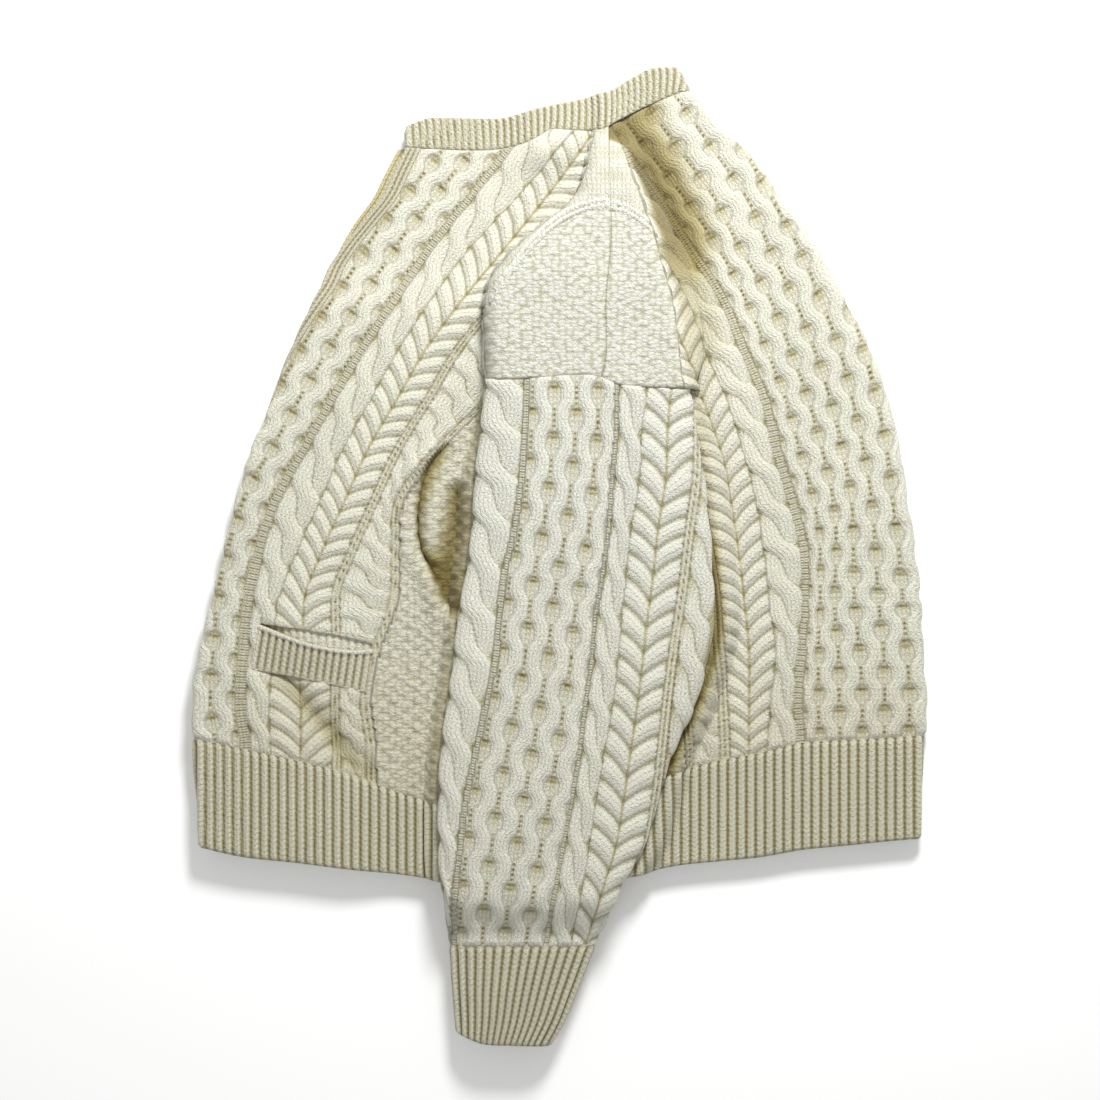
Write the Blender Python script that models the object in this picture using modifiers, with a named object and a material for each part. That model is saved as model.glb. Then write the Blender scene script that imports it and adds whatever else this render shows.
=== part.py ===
"""An aran cardigan laid flat on its right side, left sleeve on top, seen from above (+Z).

Metres, +Z up. +Y runs from the hem to the neck, +X from the front opening to the centre back fold.
Every knitted piece is a wall round a middle surface that is worked out from the tables below.
"""
import math

import bmesh
import bpy
import numpy as np

MM = 0.001

# Driving sizes (millimetres; a mesh is scaled to metres when it is made)
WALL = 3.5  # thickness of the cabled knit
LINING_WALL = 2.5  # thickness of the plain pocket lining
SEAM = 0.3  # gap between two pieces at a seam
REST_GAP = 0.6  # gap between two layers that lie on each other
BODY_SPACING = 12.0  # middle to middle of the two body layers
WRAP_SPACING = 7.0  # added where the front edges are wrapped in
FOLD_RADIUS = 3.5  # of a front folded back on itself
BAND_WIDTH = 12.0  # of each front band
SLEEVE_HEIGHT = 8.5  # middle to middle of a flattened sleeve
SLEEVE_CROWN = 3.9  # extra height of the left sleeve along its middle
SLEEVE_EDGE = 9.0  # how far the rounding of a sleeve's edge reaches in
CAP_EDGE = 11.0  # how far the rounding of the shoulder cap's front edge reaches in
RIGHT_INSET = 6.0  # the right sleeve lies this far inside the left one's outline
RIGHT_INSET_TOP = 14.0  # the same at its armhole
POCKET_DEPTH = 9.5  # front panel to pocket lining, middle to middle
ARMHOLE_LINE = 137.6  # Y below which the left sleeve covers the body
BACK_SLACK = 8.8  # how far the body stays raised beyond the sleeves' back edge
HEM_TUCK = 2.0  # how much shorter the lower layer's hem is, so that it stays hidden

LOWER_MIDDLE = WALL / 2
RIGHT_SLEEVE_STACK = SLEEVE_HEIGHT + WALL + REST_GAP + 0.2
LEFT_SLEEVE_BASE = LOWER_MIDDLE + RIGHT_SLEEVE_STACK + BODY_SPACING + WALL + REST_GAP

# Silhouette, one row per section from neck to hem
OUTLINE = {
    "y": (370.4, 348, 324, 304, 284, 264, 241.6, 204, 172, 137.6, 100, 64, 12, -36, -84, -116, -152,
          -188, -230, -268),
    "left": (-100, -111.2, -122.4, -132, -141.6, -157.6, -175.2, -194.4, -209.6, -224, -237.6, -249.6, -264,
             -275.2, -285.6, -290.4, -290.4, -288.8, -285.6, -284),
    "right": (104, 122.4, 145.6, 161.6, 174, 189.6, 204.8, 226.4, 241.6, 254.8, 265.6, 272, 280.4, 286, 288,
              290.4, 289.2, 288, 286.4, 285.6),
}
# Neck seam and the collar's upper edge, from the front edge to the centre back
NECK = {
    "x": (-122.4, -96, -72, -48, -32, -16, -6.4, 12, 32, 41.6, 64, 84, 97),
    "y": (324, 322.4, 321.5, 322.4, 325.6, 332, 337.6, 336.8, 336.8, 342.4, 354.4, 363.2, 368),
    "top_x": (-122.4, -100, -74, -50, -38, -20, -4, 14, 30, 40, 56, 72, 88),
    "top_y": (341, 347.5, 347, 346.8, 348.6, 354, 357.5, 361.2, 365.5, 368.8, 378.5, 386.5, 387.6),
}
# Row of the armhole seam, and the two edges of the hem rib
ARMHOLE = {
    "x": (-224, -57.6, -16, 16, 32, 44, 64, 99.2, 254.8),
    "y": (137.6, 137.6, 139, 141, 139, 134, 132, 131, 131),
}
HEM = {
    "x": (-289.6, -256, -208, -164, -128, -96, -48, 0, 48, 96, 128, 160, 192, 224, 256, 288.8),
    "top": (-146.4, -153.6, -164, -176, -190, -198.4, -205.6, -204, -192, -172, -164, -158, -150, -148,
            -146.4, -144),
    "bottom": (-230.4, -238.4, -244, -249.6, -253.6, -258.4, -262.4, -263.2, -256, -246.4, -243.2, -240, -234.4,
               -231.2, -228, -224.8),
}
# Left sleeve's outline from armhole to cuff end
SLEEVE = {
    "y": (137.6, 100, 60, 20, -20, -52, -84, -116, -152, -196, -229.6, -260, -285.6, -308, -344, -372, -388),
    "left": (-57.6, -60.8, -65.6, -68, -73.6, -79.2, -82.4, -87.2, -92, -94.4, -94.4, -91.2, -87.2, -85.6,
             -83.2, -80.8, -79.6),
    "right": (99.2, 105.6, 111.2, 115.2, 118.4, 120.8, 115.2, 104.8, 88, 74.8, 64, 47.2, 36, 26.4, 12, 0, -9.6),
}
CUFF_TOP = -308.0
CUFF_END = {"share": (0, 0.2, 0.6, 1), "y": (-378.4, -384.8, -387.2, -388)}
# How far each front is wrapped in, measured from its own edge (less than zero: it lies flat)
WRAP = {
    "y": (324, 241.6, 215, 185, 150, 110, 70, 0, -68, -230),
    "left": (-5.5, -5.5, -1, 4.5, 10, 16, 21, 27, 30, 30),
}
# How far the right front's edge shows beyond the left one's
PEEK = {"y": (340, 324, 304, 284, 264, 246, 225, -268), "x": (5, 7, 8, 8.5, 7, 3, -1.5, -1.5)}
# Shoulder seam down to the armhole, then side seam under the sleeve
SIDE = {"y": (370, 328, 252, 204, 137.6, 100, -268), "x": (38, 38.4, 40, 36, 32, 14, 12)}
# Shoulder cap: its front foot, its back foot, the width of its back slope and its rise over the body
CAP = {
    "y": (370, 336, 320, 300, 284, 272, 260, 248, 232, 218, 204, 172, 137.6, 100),
    "foot": (30, 27, 24, 19, 12, 2, -14, -28, -44, -54, -58, -59, -57.6, -60.8),
    "back": (52, 56, 68, 76, 84, 88, 92, 96, 100, 104, 108, 112, 108, 112),
    "slope": (14, 18, 24, 26, 28, 28, 28, 28, 28, 28, 28, 26, 16, 14),
    "rise": (4, 7, 14, 20, 23, 24, 25, 26, 27, 28, 28.5, 29, 29.3, 29.3),
}
# Soft ridges (+) and troughs (-) of the upper layer: middle, half length, half width, direction, height
CREASES = (
    {"x": -6, "y": 322, "long": 26, "wide": 15, "turn": 15, "high": 8.0},
    {"x": -78, "y": 2, "long": 50, "wide": 9, "turn": 97, "high": -2.5},
    {"x": -99, "y": 4, "long": 62, "wide": 9, "turn": 92, "high": 5.0},
    {"x": -104, "y": 78, "long": 26, "wide": 10, "turn": 50, "high": 4.0},
    {"x": 88, "y": 286, "long": 52, "wide": 14, "turn": -62, "high": -4.0},
    {"x": 150, "y": 90, "long": 120, "wide": 26, "turn": -78, "high": 4.0},
    {"x": -206, "y": -118, "long": 55, "wide": 12, "turn": -52, "high": -1.5},
    {"x": 135, "y": -95, "long": 45, "wide": 12, "turn": 80, "high": -3.0},
)
# Pocket opening in the front panel: rows and column shares it takes up
POCKET_ROWS = (1.655, 1.776)
POCKET_COLUMNS = (9, 12)
FRONT_SHARES = (0, 0.19, 0.34, 0.5, 0.655, 0.76, 0.85, 0.93, 1)


def read(table, key, value, across="y"):
    """The table's column at this value, as a smooth curve through its rows."""
    knots = np.array(table[across], float)
    column = np.array(table[key], float)
    if knots[0] > knots[-1]:
        knots, column = knots[::-1], column[::-1]
    slope = np.gradient(column, knots)
    rise = np.diff(column) / np.diff(knots)
    flat = np.concatenate([[False], rise[:-1] * rise[1:] <= 0, [False]])
    slope[flat] = 0
    value = np.clip(value, knots[0], knots[-1])
    i = np.clip(np.searchsorted(knots, value, side="right") - 1, 0, len(knots) - 2)
    step = knots[i + 1] - knots[i]
    t = (value - knots[i]) / step
    return (
        (2 * t**3 - 3 * t**2 + 1) * column[i]
        + (t**3 - 2 * t**2 + t) * step * slope[i]
        + (3 * t**2 - 2 * t**3) * column[i + 1]
        + (t**3 - t**2) * step * slope[i + 1]
    )


def ease(value):
    t = np.clip(value, 0, 1)
    return t * t * (3 - 2 * t)


def bulge(value):
    """A quarter of an ellipse: steep at 0, level at 1."""
    t = np.clip(value, 0, 1)
    return np.sqrt(1 - (1 - t) ** 2)


def share_across(x, y):
    left, right = read(OUTLINE, "left", y), read(OUTLINE, "right", y)
    return (x - left) / (right - left)


def row_curve(table, key, share):
    """Height along Y of a named row where it crosses this share of the garment's width."""
    y = np.array(table[key], float)
    shares = share_across(np.array(table["x"], float), y)
    return read({"share": shares, "y": y}, "y", share, across="share")


def row_y(v, share):
    """Row 0 is the neck, 1 the armhole, 2 the top of the hem rib, 3 its edge."""
    curves = [
        row_curve(NECK, "y", share),
        row_curve(ARMHOLE, "y", share),
        row_curve(HEM, "top", share),
        row_curve(HEM, "bottom", share),
    ]
    i = np.clip(np.floor(v), 0, 2).astype(int)
    above = np.choose(i, curves[:3])
    below = np.choose(i, curves[1:])
    return above + (below - above) * (v - i)


def settle(v, x_of_y):
    """(x, y) where row v crosses a line that is given as x for each y."""
    y = row_y(v, np.full(np.shape(v), 0.4))
    for _ in range(8):
        y = row_y(v, share_across(x_of_y(y), y))
    return x_of_y(y) + 0 * y, y


def lift(x, y, lower):
    """The body is raised where the right sleeve lies under it, below the armholes."""
    spread = 14 * ease((130 - y) / 70)
    left = ease((x - read(SLEEVE, "left", y) + spread) / 12)
    right = ease((read(SLEEVE, "right", y) + BACK_SLACK + spread - x) / 14)
    return np.where(lower, RIGHT_SLEEVE_STACK * left * right, 0)


def wrapped(y):
    return ease((read(WRAP, "left", y) + 5) / 9)


def body_gap(x, y):
    near_front = 1 - ease((x - read(OUTLINE, "left", y) - 110) / 60)
    return BODY_SPACING + WRAP_SPACING * wrapped(y) * near_front


def creases(x, y):
    total = np.zeros(np.shape(x))
    for crease in CREASES:
        turn = math.radians(crease["turn"])
        dx, dy = x - crease["x"], y - crease["y"]
        along = (dx * math.cos(turn) + dy * math.sin(turn)) / crease["long"]
        over = (dy * math.cos(turn) - dx * math.sin(turn)) / crease["wide"]
        total = total + crease["high"] * np.exp(-(along**2) - over**2)
    under_sleeve = ease((x - read(SLEEVE, "left", y)) / 14) * ease((read(SLEEVE, "right", y) + 4 - x) / 14)
    edges = ease(share_across(x, y) / 0.05) * ease((1 - share_across(x, y)) / 0.05)
    return total * edges * np.where(y < ARMHOLE_LINE, 1 - under_sleeve, 1)


def cap(x, y):
    """Height of the left shoulder over the flat body."""
    foot, back = read(CAP, "foot", y), read(CAP, "back", y)
    near_armhole = ease((204 - y) / 60)
    front = bulge((x - foot) / CAP_EDGE)
    slope = (back - x) / read(CAP, "slope", y)
    rear = ease(slope) * (1 - near_armhole) + bulge(slope) * near_armhole
    return read(CAP, "rise", y) * front * rear


def lower_layer(x, y, lower):
    return LOWER_MIDDLE + lift(x, y, lower)


def upper_layer(x, y, lower):
    plain = lower_layer(x, y, lower) + body_gap(x, y) + creases(x, y)
    return plain + np.where(lower, 0, cap(x, y))


def front_path(s, y, peek):
    """Across a front whose edge turns in: (x, distance from its layer) at s from that edge."""
    wrap = read(WRAP, "left", y)
    quarter = math.pi * FOLD_RADIUS / 2
    centre = read(OUTLINE, "left", y) - peek + (FOLD_RADIUS + WALL / 2) * ease((wrap + quarter) / quarter)
    past = s - wrap
    angle = np.clip(past / FOLD_RADIUS, -math.pi / 2, math.pi / 2)
    x = centre - FOLD_RADIUS * np.cos(angle) + np.maximum(np.abs(past) - quarter, 0)
    return x, FOLD_RADIUS * (1 - np.sin(angle))


def foot_line(y):
    return np.where(y > ARMHOLE_LINE, read(CAP, "foot", y), read(SLEEVE, "left", y))


def back_line(y):
    return np.where(y > ARMHOLE_LINE, read(CAP, "back", y), read(SLEEVE, "right", y) + BACK_SLACK)


def front_rim(y):
    foot = foot_line(y)
    return foot + np.minimum(CAP_EDGE, 0.6 * (read(SIDE, "x", y) - foot))


def back_rim(y):
    back, side = back_line(y), read(SIDE, "x", y)
    return np.maximum(back - read(CAP, "slope", y), side + 0.3 * (back - side))


# Columns of a front, counted from its band: 0-4 turned in, 4-8 round the fold, 8-16 across,
# 16-19 up the cap's edge, 19-22 over the cap to the side seam.
TURN_START, TURN_END, FOOT, RIM, FRONT_LAST = 4, 8, 16, 19, 22


def front_column(c, y, peek):
    """(x, distance from its layer) of a front's column c."""
    start = BAND_WIDTH + SEAM
    turn = math.pi * FOLD_RADIUS
    turn_start = np.maximum(read(WRAP, "left", y) - turn / 2, start + 1.6)
    flap = start + (turn_start - start) * np.clip(c / TURN_START, 0, 1)
    s = flap + turn * np.clip((c - TURN_START) / (TURN_END - TURN_START), 0, 1)
    x, away = front_path(s, y, peek)
    foot, rim, side = foot_line(y), front_rim(y), read(SIDE, "x", y) - SEAM / 2
    share = np.interp(c, np.arange(TURN_END, FOOT + 1), FRONT_SHARES)
    x = x + (foot - x) * share
    x = x + (rim - foot) * np.clip((c - FOOT) / (RIM - FOOT), 0, 1) ** 2
    x = x + (side - rim) * np.clip((c - RIM) / (FRONT_LAST - RIM), 0, 1)
    return x, away * (c < TURN_END)


def front_left(v, c, lower):
    x, y = settle(v, lambda y: front_column(c, y, 0.0)[0])
    away = front_column(c, y, 0.0)[1]
    return x, y, upper_layer(x, y, lower) - away


def front_right(v, c, lower):
    x, y = settle(v, lambda y: front_column(c, y, read(PEEK, "x", y))[0])
    away = front_column(c, y, read(PEEK, "x", y))[1]
    return x, y + HEM_TUCK * np.maximum(v - 2, 0), lower_layer(x, y, lower) + away


def band_left(v, s, lower):
    x, y = settle(v, lambda y: front_path(s, y, 0.0)[0])
    return x, y, upper_layer(x, y, lower) - front_path(s, y, 0.0)[1]


def band_right(v, s, lower):
    x, y = settle(v, lambda y: front_path(s, y, read(PEEK, "x", y))[0])
    away = front_path(s, y, read(PEEK, "x", y))[1]
    return x, y + HEM_TUCK * np.maximum(v - 2, 0), lower_layer(x, y, lower) + away


# Columns of the back: 0-3 over the cap, 3-7 down its slope, 7-11 across, 11-16 round the centre
# back, 16-20 across the lower layer, 20-25 to the right side seam.
BACK_KNOTS = (0, 3, 7, 11, 16, 20, 23, 25)


def back_column(c, y):
    side, rim, back = read(SIDE, "x", y) + SEAM / 2, back_rim(y), back_line(y)
    turn = read(OUTLINE, "right", y) - WALL / 2 - BODY_SPACING / 2
    lines = (side, rim, back, turn, turn, back, rim, side)
    x = lines[0]
    for start, end, near, far in zip(BACK_KNOTS, BACK_KNOTS[1:], lines, lines[1:]):
        x = x + (far - near) * np.clip((c - start) / (end - start), 0, 1)
    return x


def back(v, c, lower):
    x, y = settle(v, lambda y: back_column(c, y))
    low, high = lower_layer(x, y, lower), upper_layer(x, y, lower)
    fold_start, fold_end = BACK_KNOTS[3:5]
    turn = math.pi * np.clip((c - fold_start) / (fold_end - fold_start), 0, 1)
    radius = (high - low) / 2
    x = x + radius * np.sin(turn)
    y = y + HEM_TUCK * np.maximum(v - 2, 0) * (turn > math.pi / 2)
    return x, y, (high + low) / 2 + radius * np.cos(turn)


# Columns of the collar: 0-12 over the upper layer, 12-16 round the centre back, 16-28 back again.
def collar(t, c, _lower):
    k = np.where(c <= 12, c, np.where(c >= 16, 28 - c, 12))
    rows = {"k": np.arange(13), "x": NECK["x"], "top_x": NECK["top_x"], "top_y": NECK["top_y"]}
    foot_x, foot_y = settle(np.zeros(np.shape(c)), lambda y: read(rows, "x", k, across="k"))
    under = 1.5 * t * ease((c - 12) / 4)
    x = foot_x + (read(rows, "top_x", k, across="k") - foot_x) * t - under
    y = foot_y + (read(rows, "top_y", k, across="k") - foot_y) * t - under + 2.5 * SEAM
    low, high = lower_layer(foot_x, foot_y, False), upper_layer(foot_x, foot_y, False)
    turn = math.pi * np.clip((c - 12) / 4, 0, 1)
    radius = (high - low) / 2
    return x + radius * np.sin(turn), y, (high + low) / 2 + radius * np.cos(turn)


def pocket_lining(v, c, lower):
    x, y, z = front_left(v, c, lower)
    return x, y, z - POCKET_DEPTH


# The pocket's border runs from row t = 0, on the panel, to its lip, t = 1.
LIP = {"c": (9, 9.6, 10.2, 10.9, 11.6, 12), "v": (1.662, 1.682, 1.698, 1.699, 1.694, 1.688)}


def pocket_border(t, c, lower):
    start = POCKET_ROWS[1] - 0.002
    v = start + (read(LIP, "v", c, across="c") - start) * t
    x, y, z = front_left(v, c, lower)
    return x, y, z + 3.0 * t * np.sin(math.pi * (c - 9) / 3)


def sleeve_point(w, ring, inset_top, inset, start, end, stands_on):
    """A point of a flattened tube: ring runs 0-1 over its upper half, 1-2 back under it."""
    over = ring <= 1
    across = np.where(over, ring, 2 - ring)
    across = (1 - np.cos(math.pi * across)) / 2
    y = np.full(np.shape(ring), 0.0)
    for _ in range(5):
        inset_here = inset + (inset_top - inset) * ease((y - 60) / 78)
        left, right = read(SLEEVE, "left", y) + inset_here, read(SLEEVE, "right", y) - inset_here
        x = left + (right - left) * across
        from_y, to_y = start(x, y), end(across)
        y = from_y + (to_y - from_y) * w
    rounding = bulge(np.minimum(across, 1 - across) * (right - left) / SLEEVE_EDGE)
    base, crown = stands_on(y)
    half = SLEEVE_HEIGHT / 2
    top = (half + crown * (1 - (2 * across - 1) ** 4)) * rounding
    return x, y, base + half + np.where(over, top, -half * rounding)


def armhole_y(x, y):
    return row_y(np.ones(np.shape(x)), share_across(x, y)) - 5 * SEAM


def cuff_end(across):
    return read(CUFF_END, "y", across, across="share")


def on_body(y):
    """Base and crown of the left sleeve: on the body, then down on to the right cuff."""
    past_hem = ease((-266 - y) / 36)
    low = LOWER_MIDDLE + SLEEVE_HEIGHT + WALL + REST_GAP
    crown = SLEEVE_CROWN + 2.0 * past_hem
    return LEFT_SLEEVE_BASE + (low - LEFT_SLEEVE_BASE) * past_hem, crown


def on_ground(y):
    return LOWER_MIDDLE + 0 * y, 0.0


def left_sleeve(w, ring, _lower):
    return sleeve_point(w, ring, 0, 0, armhole_y, lambda across: CUFF_TOP + SEAM / 2 + 0 * across, on_body)


def left_cuff(w, ring, _lower):
    return sleeve_point(w, ring, 0, 0, lambda x, y: CUFF_TOP - SEAM + 0 * x, cuff_end, on_body)


def right_sleeve(w, ring, _lower):
    def end(across):
        return CUFF_TOP + SEAM / 2 + 0 * across

    return sleeve_point(w, ring, RIGHT_INSET_TOP, RIGHT_INSET, armhole_y, end, on_ground)


def right_cuff(w, ring, _lower):
    def start(x, y):
        return CUFF_TOP - 2 * SEAM + 0 * x

    def end(across):
        return cuff_end(across) + 5

    return sleeve_point(w, ring, RIGHT_INSET, RIGHT_INSET, start, end, on_ground)


def wall_object(name, collection, material, points, faces, wall):
    """A named object: the middle surface, thickened evenly to both sides."""
    shape = bmesh.new()
    corners = [shape.verts.new(point * MM) for point in points]
    for face in faces:
        shape.faces.new([corners[i] for i in face])
    loose = [corner for corner in shape.verts if not corner.link_faces]
    bmesh.ops.delete(shape, geom=loose, context="VERTS")
    mesh = bpy.data.meshes.new(name)
    shape.to_mesh(mesh)
    shape.free()
    mesh.materials.append(material)
    obj = bpy.data.objects.new(name, mesh)
    collection.objects.link(obj)
    solidify = obj.modifiers.new("Wall", "SOLIDIFY")
    solidify.thickness = wall * MM
    solidify.offset = 0
    return obj


def panel(name, collection, material, point, upper_rows, lower_rows, columns, joined=None, hole=None,
          wall=WALL):
    """A sheet of rows and columns. The armhole parts its two blocks of rows, but for the joined columns."""
    points, faces = [], []
    count = len(columns)
    starts = []
    for rows, lower in ((upper_rows, False), (lower_rows, True)):
        starts.append(len(points))
        if len(rows):
            v, c = np.meshgrid(np.array(rows, float), np.array(columns, float), indexing="ij")
            points.extend(np.stack(point(v, c, lower), axis=-1).reshape(-1, 3))

    def corner(block, i, j):
        both = len(upper_rows) and len(lower_rows)
        if block == 1 and i == 0 and both and joined(columns[j]):
            return starts[0] + (len(upper_rows) - 1) * count + j
        return starts[block] + i * count + j

    for block, rows in enumerate((upper_rows, lower_rows)):
        for i in range(len(rows) - 1):
            for j in range(count - 1):
                if hole and hole(rows[i], columns[j]):
                    continue
                around = ((i, j), (i + 1, j), (i + 1, j + 1), (i, j + 1))
                faces.append([corner(block, row, column) for row, column in around])
    return wall_object(name, collection, material, points, faces, wall)


def tube(name, collection, material, point, rows, sides):
    ring = 2 * np.arange(sides) / sides
    w, around = np.meshgrid(np.array(rows, float), ring, indexing="ij")
    points = np.stack(point(w, around, True), axis=-1).reshape(-1, 3)
    faces = []
    for i in range(len(rows) - 1):
        for j in range(sides):
            k = (j + 1) % sides
            faces.append((i * sides + j, (i + 1) * sides + j, (i + 1) * sides + k, i * sides + k))
    return wall_object(name, collection, material, points, faces, WALL)


def wool(name, colour, roughness):
    material = bpy.data.materials.new(name)
    material.use_nodes = True
    shader = material.node_tree.nodes["Principled BSDF"]
    shader.inputs["Base Color"].default_value = (*colour, 1)
    shader.inputs["Roughness"].default_value = roughness
    shader.inputs["Metallic"].default_value = 0
    material.diffuse_color = (*colour, 1)
    return material


# Rows of each block. The first stops short of the collar, the last short of the hem.
NECK_ROW = 0.5 * SEAM / 190
HEM_ROW = 2 - 0.8 * SEAM / 300
PLAIN_NECK_ROW = 7 * SEAM / 190
UPPER_ROWS = (NECK_ROW, 0.1, 0.21, 0.33, 0.45, 0.56, 0.67, 0.78, 0.89, 1)
LOWER_ROWS = (1, 1.08, 1.18, 1.3, 1.43, 1.55, *POCKET_ROWS, 1.88, HEM_ROW)
RIB_ROWS = (2 + 0.8 * SEAM / 60, 2.45, 3)
PLAIN_FRONT = (22, 21, 20, 19, 18, 17, 16, 14, 12, 10, 8, 7, 6, 5, 4, 2.5, 0)
SLEEVE_ROWS = (0, 0.1, 0.22, 0.34, 0.46, 0.58, 0.7, 0.81, 0.906, 0.935, 0.962, 0.985, 1)


def front_joined(c):
    return c <= FOOT


def back_joined(c):
    return BACK_KNOTS[2] <= c <= BACK_KNOTS[5]


def pocket_hole(v, c):
    return POCKET_ROWS[0] <= v < POCKET_ROWS[1] and POCKET_COLUMNS[0] <= c < POCKET_COLUMNS[1]


def build():
    for obj in list(bpy.data.objects):
        bpy.data.objects.remove(obj, do_unlink=True)
    home = bpy.data.collections.new("aran_cardigan")
    bpy.context.scene.collection.children.link(home)
    cream = (0.79, 0.75, 0.58)
    ribbed = (0.76, 0.72, 0.53)

    def cloth(name, colour=cream):
        return wool(f"{name}_wool", colour, 0.95)

    front_columns = tuple(range(FRONT_LAST + 1))
    back_columns = tuple(range(BACK_KNOTS[-1] + 1))
    band_columns = (0, 2.4, 4.8, 7.2, 9.6, BAND_WIDTH - 5 * SEAM)
    panel("front_left", home, cloth("front_left"), front_left, UPPER_ROWS, LOWER_ROWS, front_columns,
          front_joined, pocket_hole)
    panel("front_right", home, cloth("front_right"), front_right, (PLAIN_NECK_ROW, *UPPER_ROWS[1:]), LOWER_ROWS,
          PLAIN_FRONT, front_joined)
    panel("back", home, cloth("back"), back, UPPER_ROWS, LOWER_ROWS, back_columns, back_joined)
    panel("hem_front_left", home, cloth("hem_front_left", ribbed), front_left, (), RIB_ROWS, front_columns)
    panel("hem_front_right", home, cloth("hem_front_right", ribbed), front_right, (), RIB_ROWS, PLAIN_FRONT)
    panel("hem_back", home, cloth("hem_back", ribbed), back, (), RIB_ROWS, back_columns)
    band_rows = LOWER_ROWS[:-1] + (2, 2.5, 3)
    for name, point in (("band_left", band_left), ("band_right", band_right)):
        panel(name, home, cloth(name, ribbed), point, UPPER_ROWS, band_rows, band_columns, lambda s: True)
    panel("collar", home, cloth("collar", ribbed), collar, (), (0, 0.5, 1), tuple(range(29)))
    panel("pocket_lining_left", home, cloth("pocket_lining_left"), pocket_lining, (),
          (1.63, 1.7, 1.79, 1.88, 1.96), (8.8, 9.6, 10.4, 11.2, 12.3), wall=LINING_WALL)
    panel("pocket_border_left", home, cloth("pocket_border_left", ribbed), pocket_border, (),
          (0, 0.34, 0.67, 1), (9.02, 9.5, 10, 10.5, 11, 11.5, 11.98))
    tube("sleeve_left", home, cloth("sleeve_left"), left_sleeve, SLEEVE_ROWS, 20)
    tube("sleeve_right", home, cloth("sleeve_right"), right_sleeve, SLEEVE_ROWS, 16)
    tube("cuff_left", home, cloth("cuff_left", ribbed), left_cuff, (0, 0.5, 1), 20)
    tube("cuff_right", home, cloth("cuff_right", ribbed), right_cuff, (0, 0.5, 1), 16)


build()
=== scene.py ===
"""The looks of the aran cardigan: knitted relief, ribs and wool on the frame's folded form.

The middle surface of each piece is worked out from the same sizes as the frame, in millimetres, so a piece
lies where its CAD node lies. Cables, honeycomb and ribs are real relief, stitches and fuzz are bump.
"""

import math

import bpy
import mathutils
import numpy as np
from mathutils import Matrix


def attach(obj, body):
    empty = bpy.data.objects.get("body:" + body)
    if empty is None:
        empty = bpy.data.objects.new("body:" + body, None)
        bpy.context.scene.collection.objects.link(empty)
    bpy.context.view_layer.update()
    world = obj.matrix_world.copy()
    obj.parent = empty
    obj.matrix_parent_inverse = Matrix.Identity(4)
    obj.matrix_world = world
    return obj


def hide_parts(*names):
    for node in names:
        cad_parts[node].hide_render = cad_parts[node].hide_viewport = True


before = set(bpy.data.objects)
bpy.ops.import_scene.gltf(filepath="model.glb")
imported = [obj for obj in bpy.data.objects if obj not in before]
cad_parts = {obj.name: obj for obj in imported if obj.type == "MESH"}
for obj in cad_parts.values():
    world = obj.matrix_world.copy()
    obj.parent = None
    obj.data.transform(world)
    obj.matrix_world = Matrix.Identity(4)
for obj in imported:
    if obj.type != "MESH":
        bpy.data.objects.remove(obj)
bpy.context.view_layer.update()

# --- Driving sizes, in millimetres: a mesh is scaled to metres when it is made ---
MM = 0.001
WALL = 3.5  # thickness of the cabled knit
SEAM = 0.04  # gap between two pieces at a seam, all but closed here
REST_GAP = 0.6  # gap between two layers that lie on each other
BODY_SPACING = 12.0  # middle to middle of the two body layers
WRAP_SPACING = 7.0  # added where the front edges are wrapped in
FOLD_RADIUS = 3.5  # of a front folded back on itself
BAND_WIDTH = 12.0  # of each front band
SLEEVE_HEIGHT = 8.5  # middle to middle of a flattened sleeve
SLEEVE_CROWN = 3.9  # extra height of the left sleeve along its middle
SLEEVE_EDGE = 9.0  # how far the rounding of a sleeve's edge reaches in
CAP_EDGE = 11.0  # how far the rounding of the shoulder cap's front edge reaches in
RIGHT_INSET = 6.0  # the right sleeve lies this far inside the left one's outline
RIGHT_INSET_TOP = 14.0  # the same at its armhole
POCKET_DEPTH = 9.5  # front panel to pocket lining, middle to middle
ARMHOLE_LINE = 137.6  # Y below which the left sleeve covers the body
BACK_SLACK = 8.8  # how far the body stays raised beyond the sleeves' back edge
HEM_TUCK = 2.0  # how much shorter the lower layer's hem is, so that it stays hidden
FLAT_RIB = 0.38  # share of its height that the ribbing keeps where it lies beneath the other front
LIFT_TOP, LIFT_RUN = 130, 70  # Y where the right sleeve starts to lift the body, and over how much
LIFT_SPREAD = 14  # how gently the body leaves the sleeve that lifts it
WRAP_FADE = (110, 60)  # from a front's edge: where the added wrap spacing starts to fade, and over how much
HEM_LINE, HEM_DROP = -266, 36  # Y where the left sleeve comes off the hem, and the length of its way down
INSET_LOW, INSET_RUN = 60, 78  # Y where the right sleeve's inset starts to grow, and over how much
POCKET_SCALE = (345, 36)  # about how long a row and a column of the front are beside the pocket

LOWER_MIDDLE = WALL / 2
RIGHT_SLEEVE_STACK = SLEEVE_HEIGHT + WALL + REST_GAP + 0.2
LEFT_SLEEVE_BASE = LOWER_MIDDLE + RIGHT_SLEEVE_STACK + BODY_SPACING + WALL + REST_GAP

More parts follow.
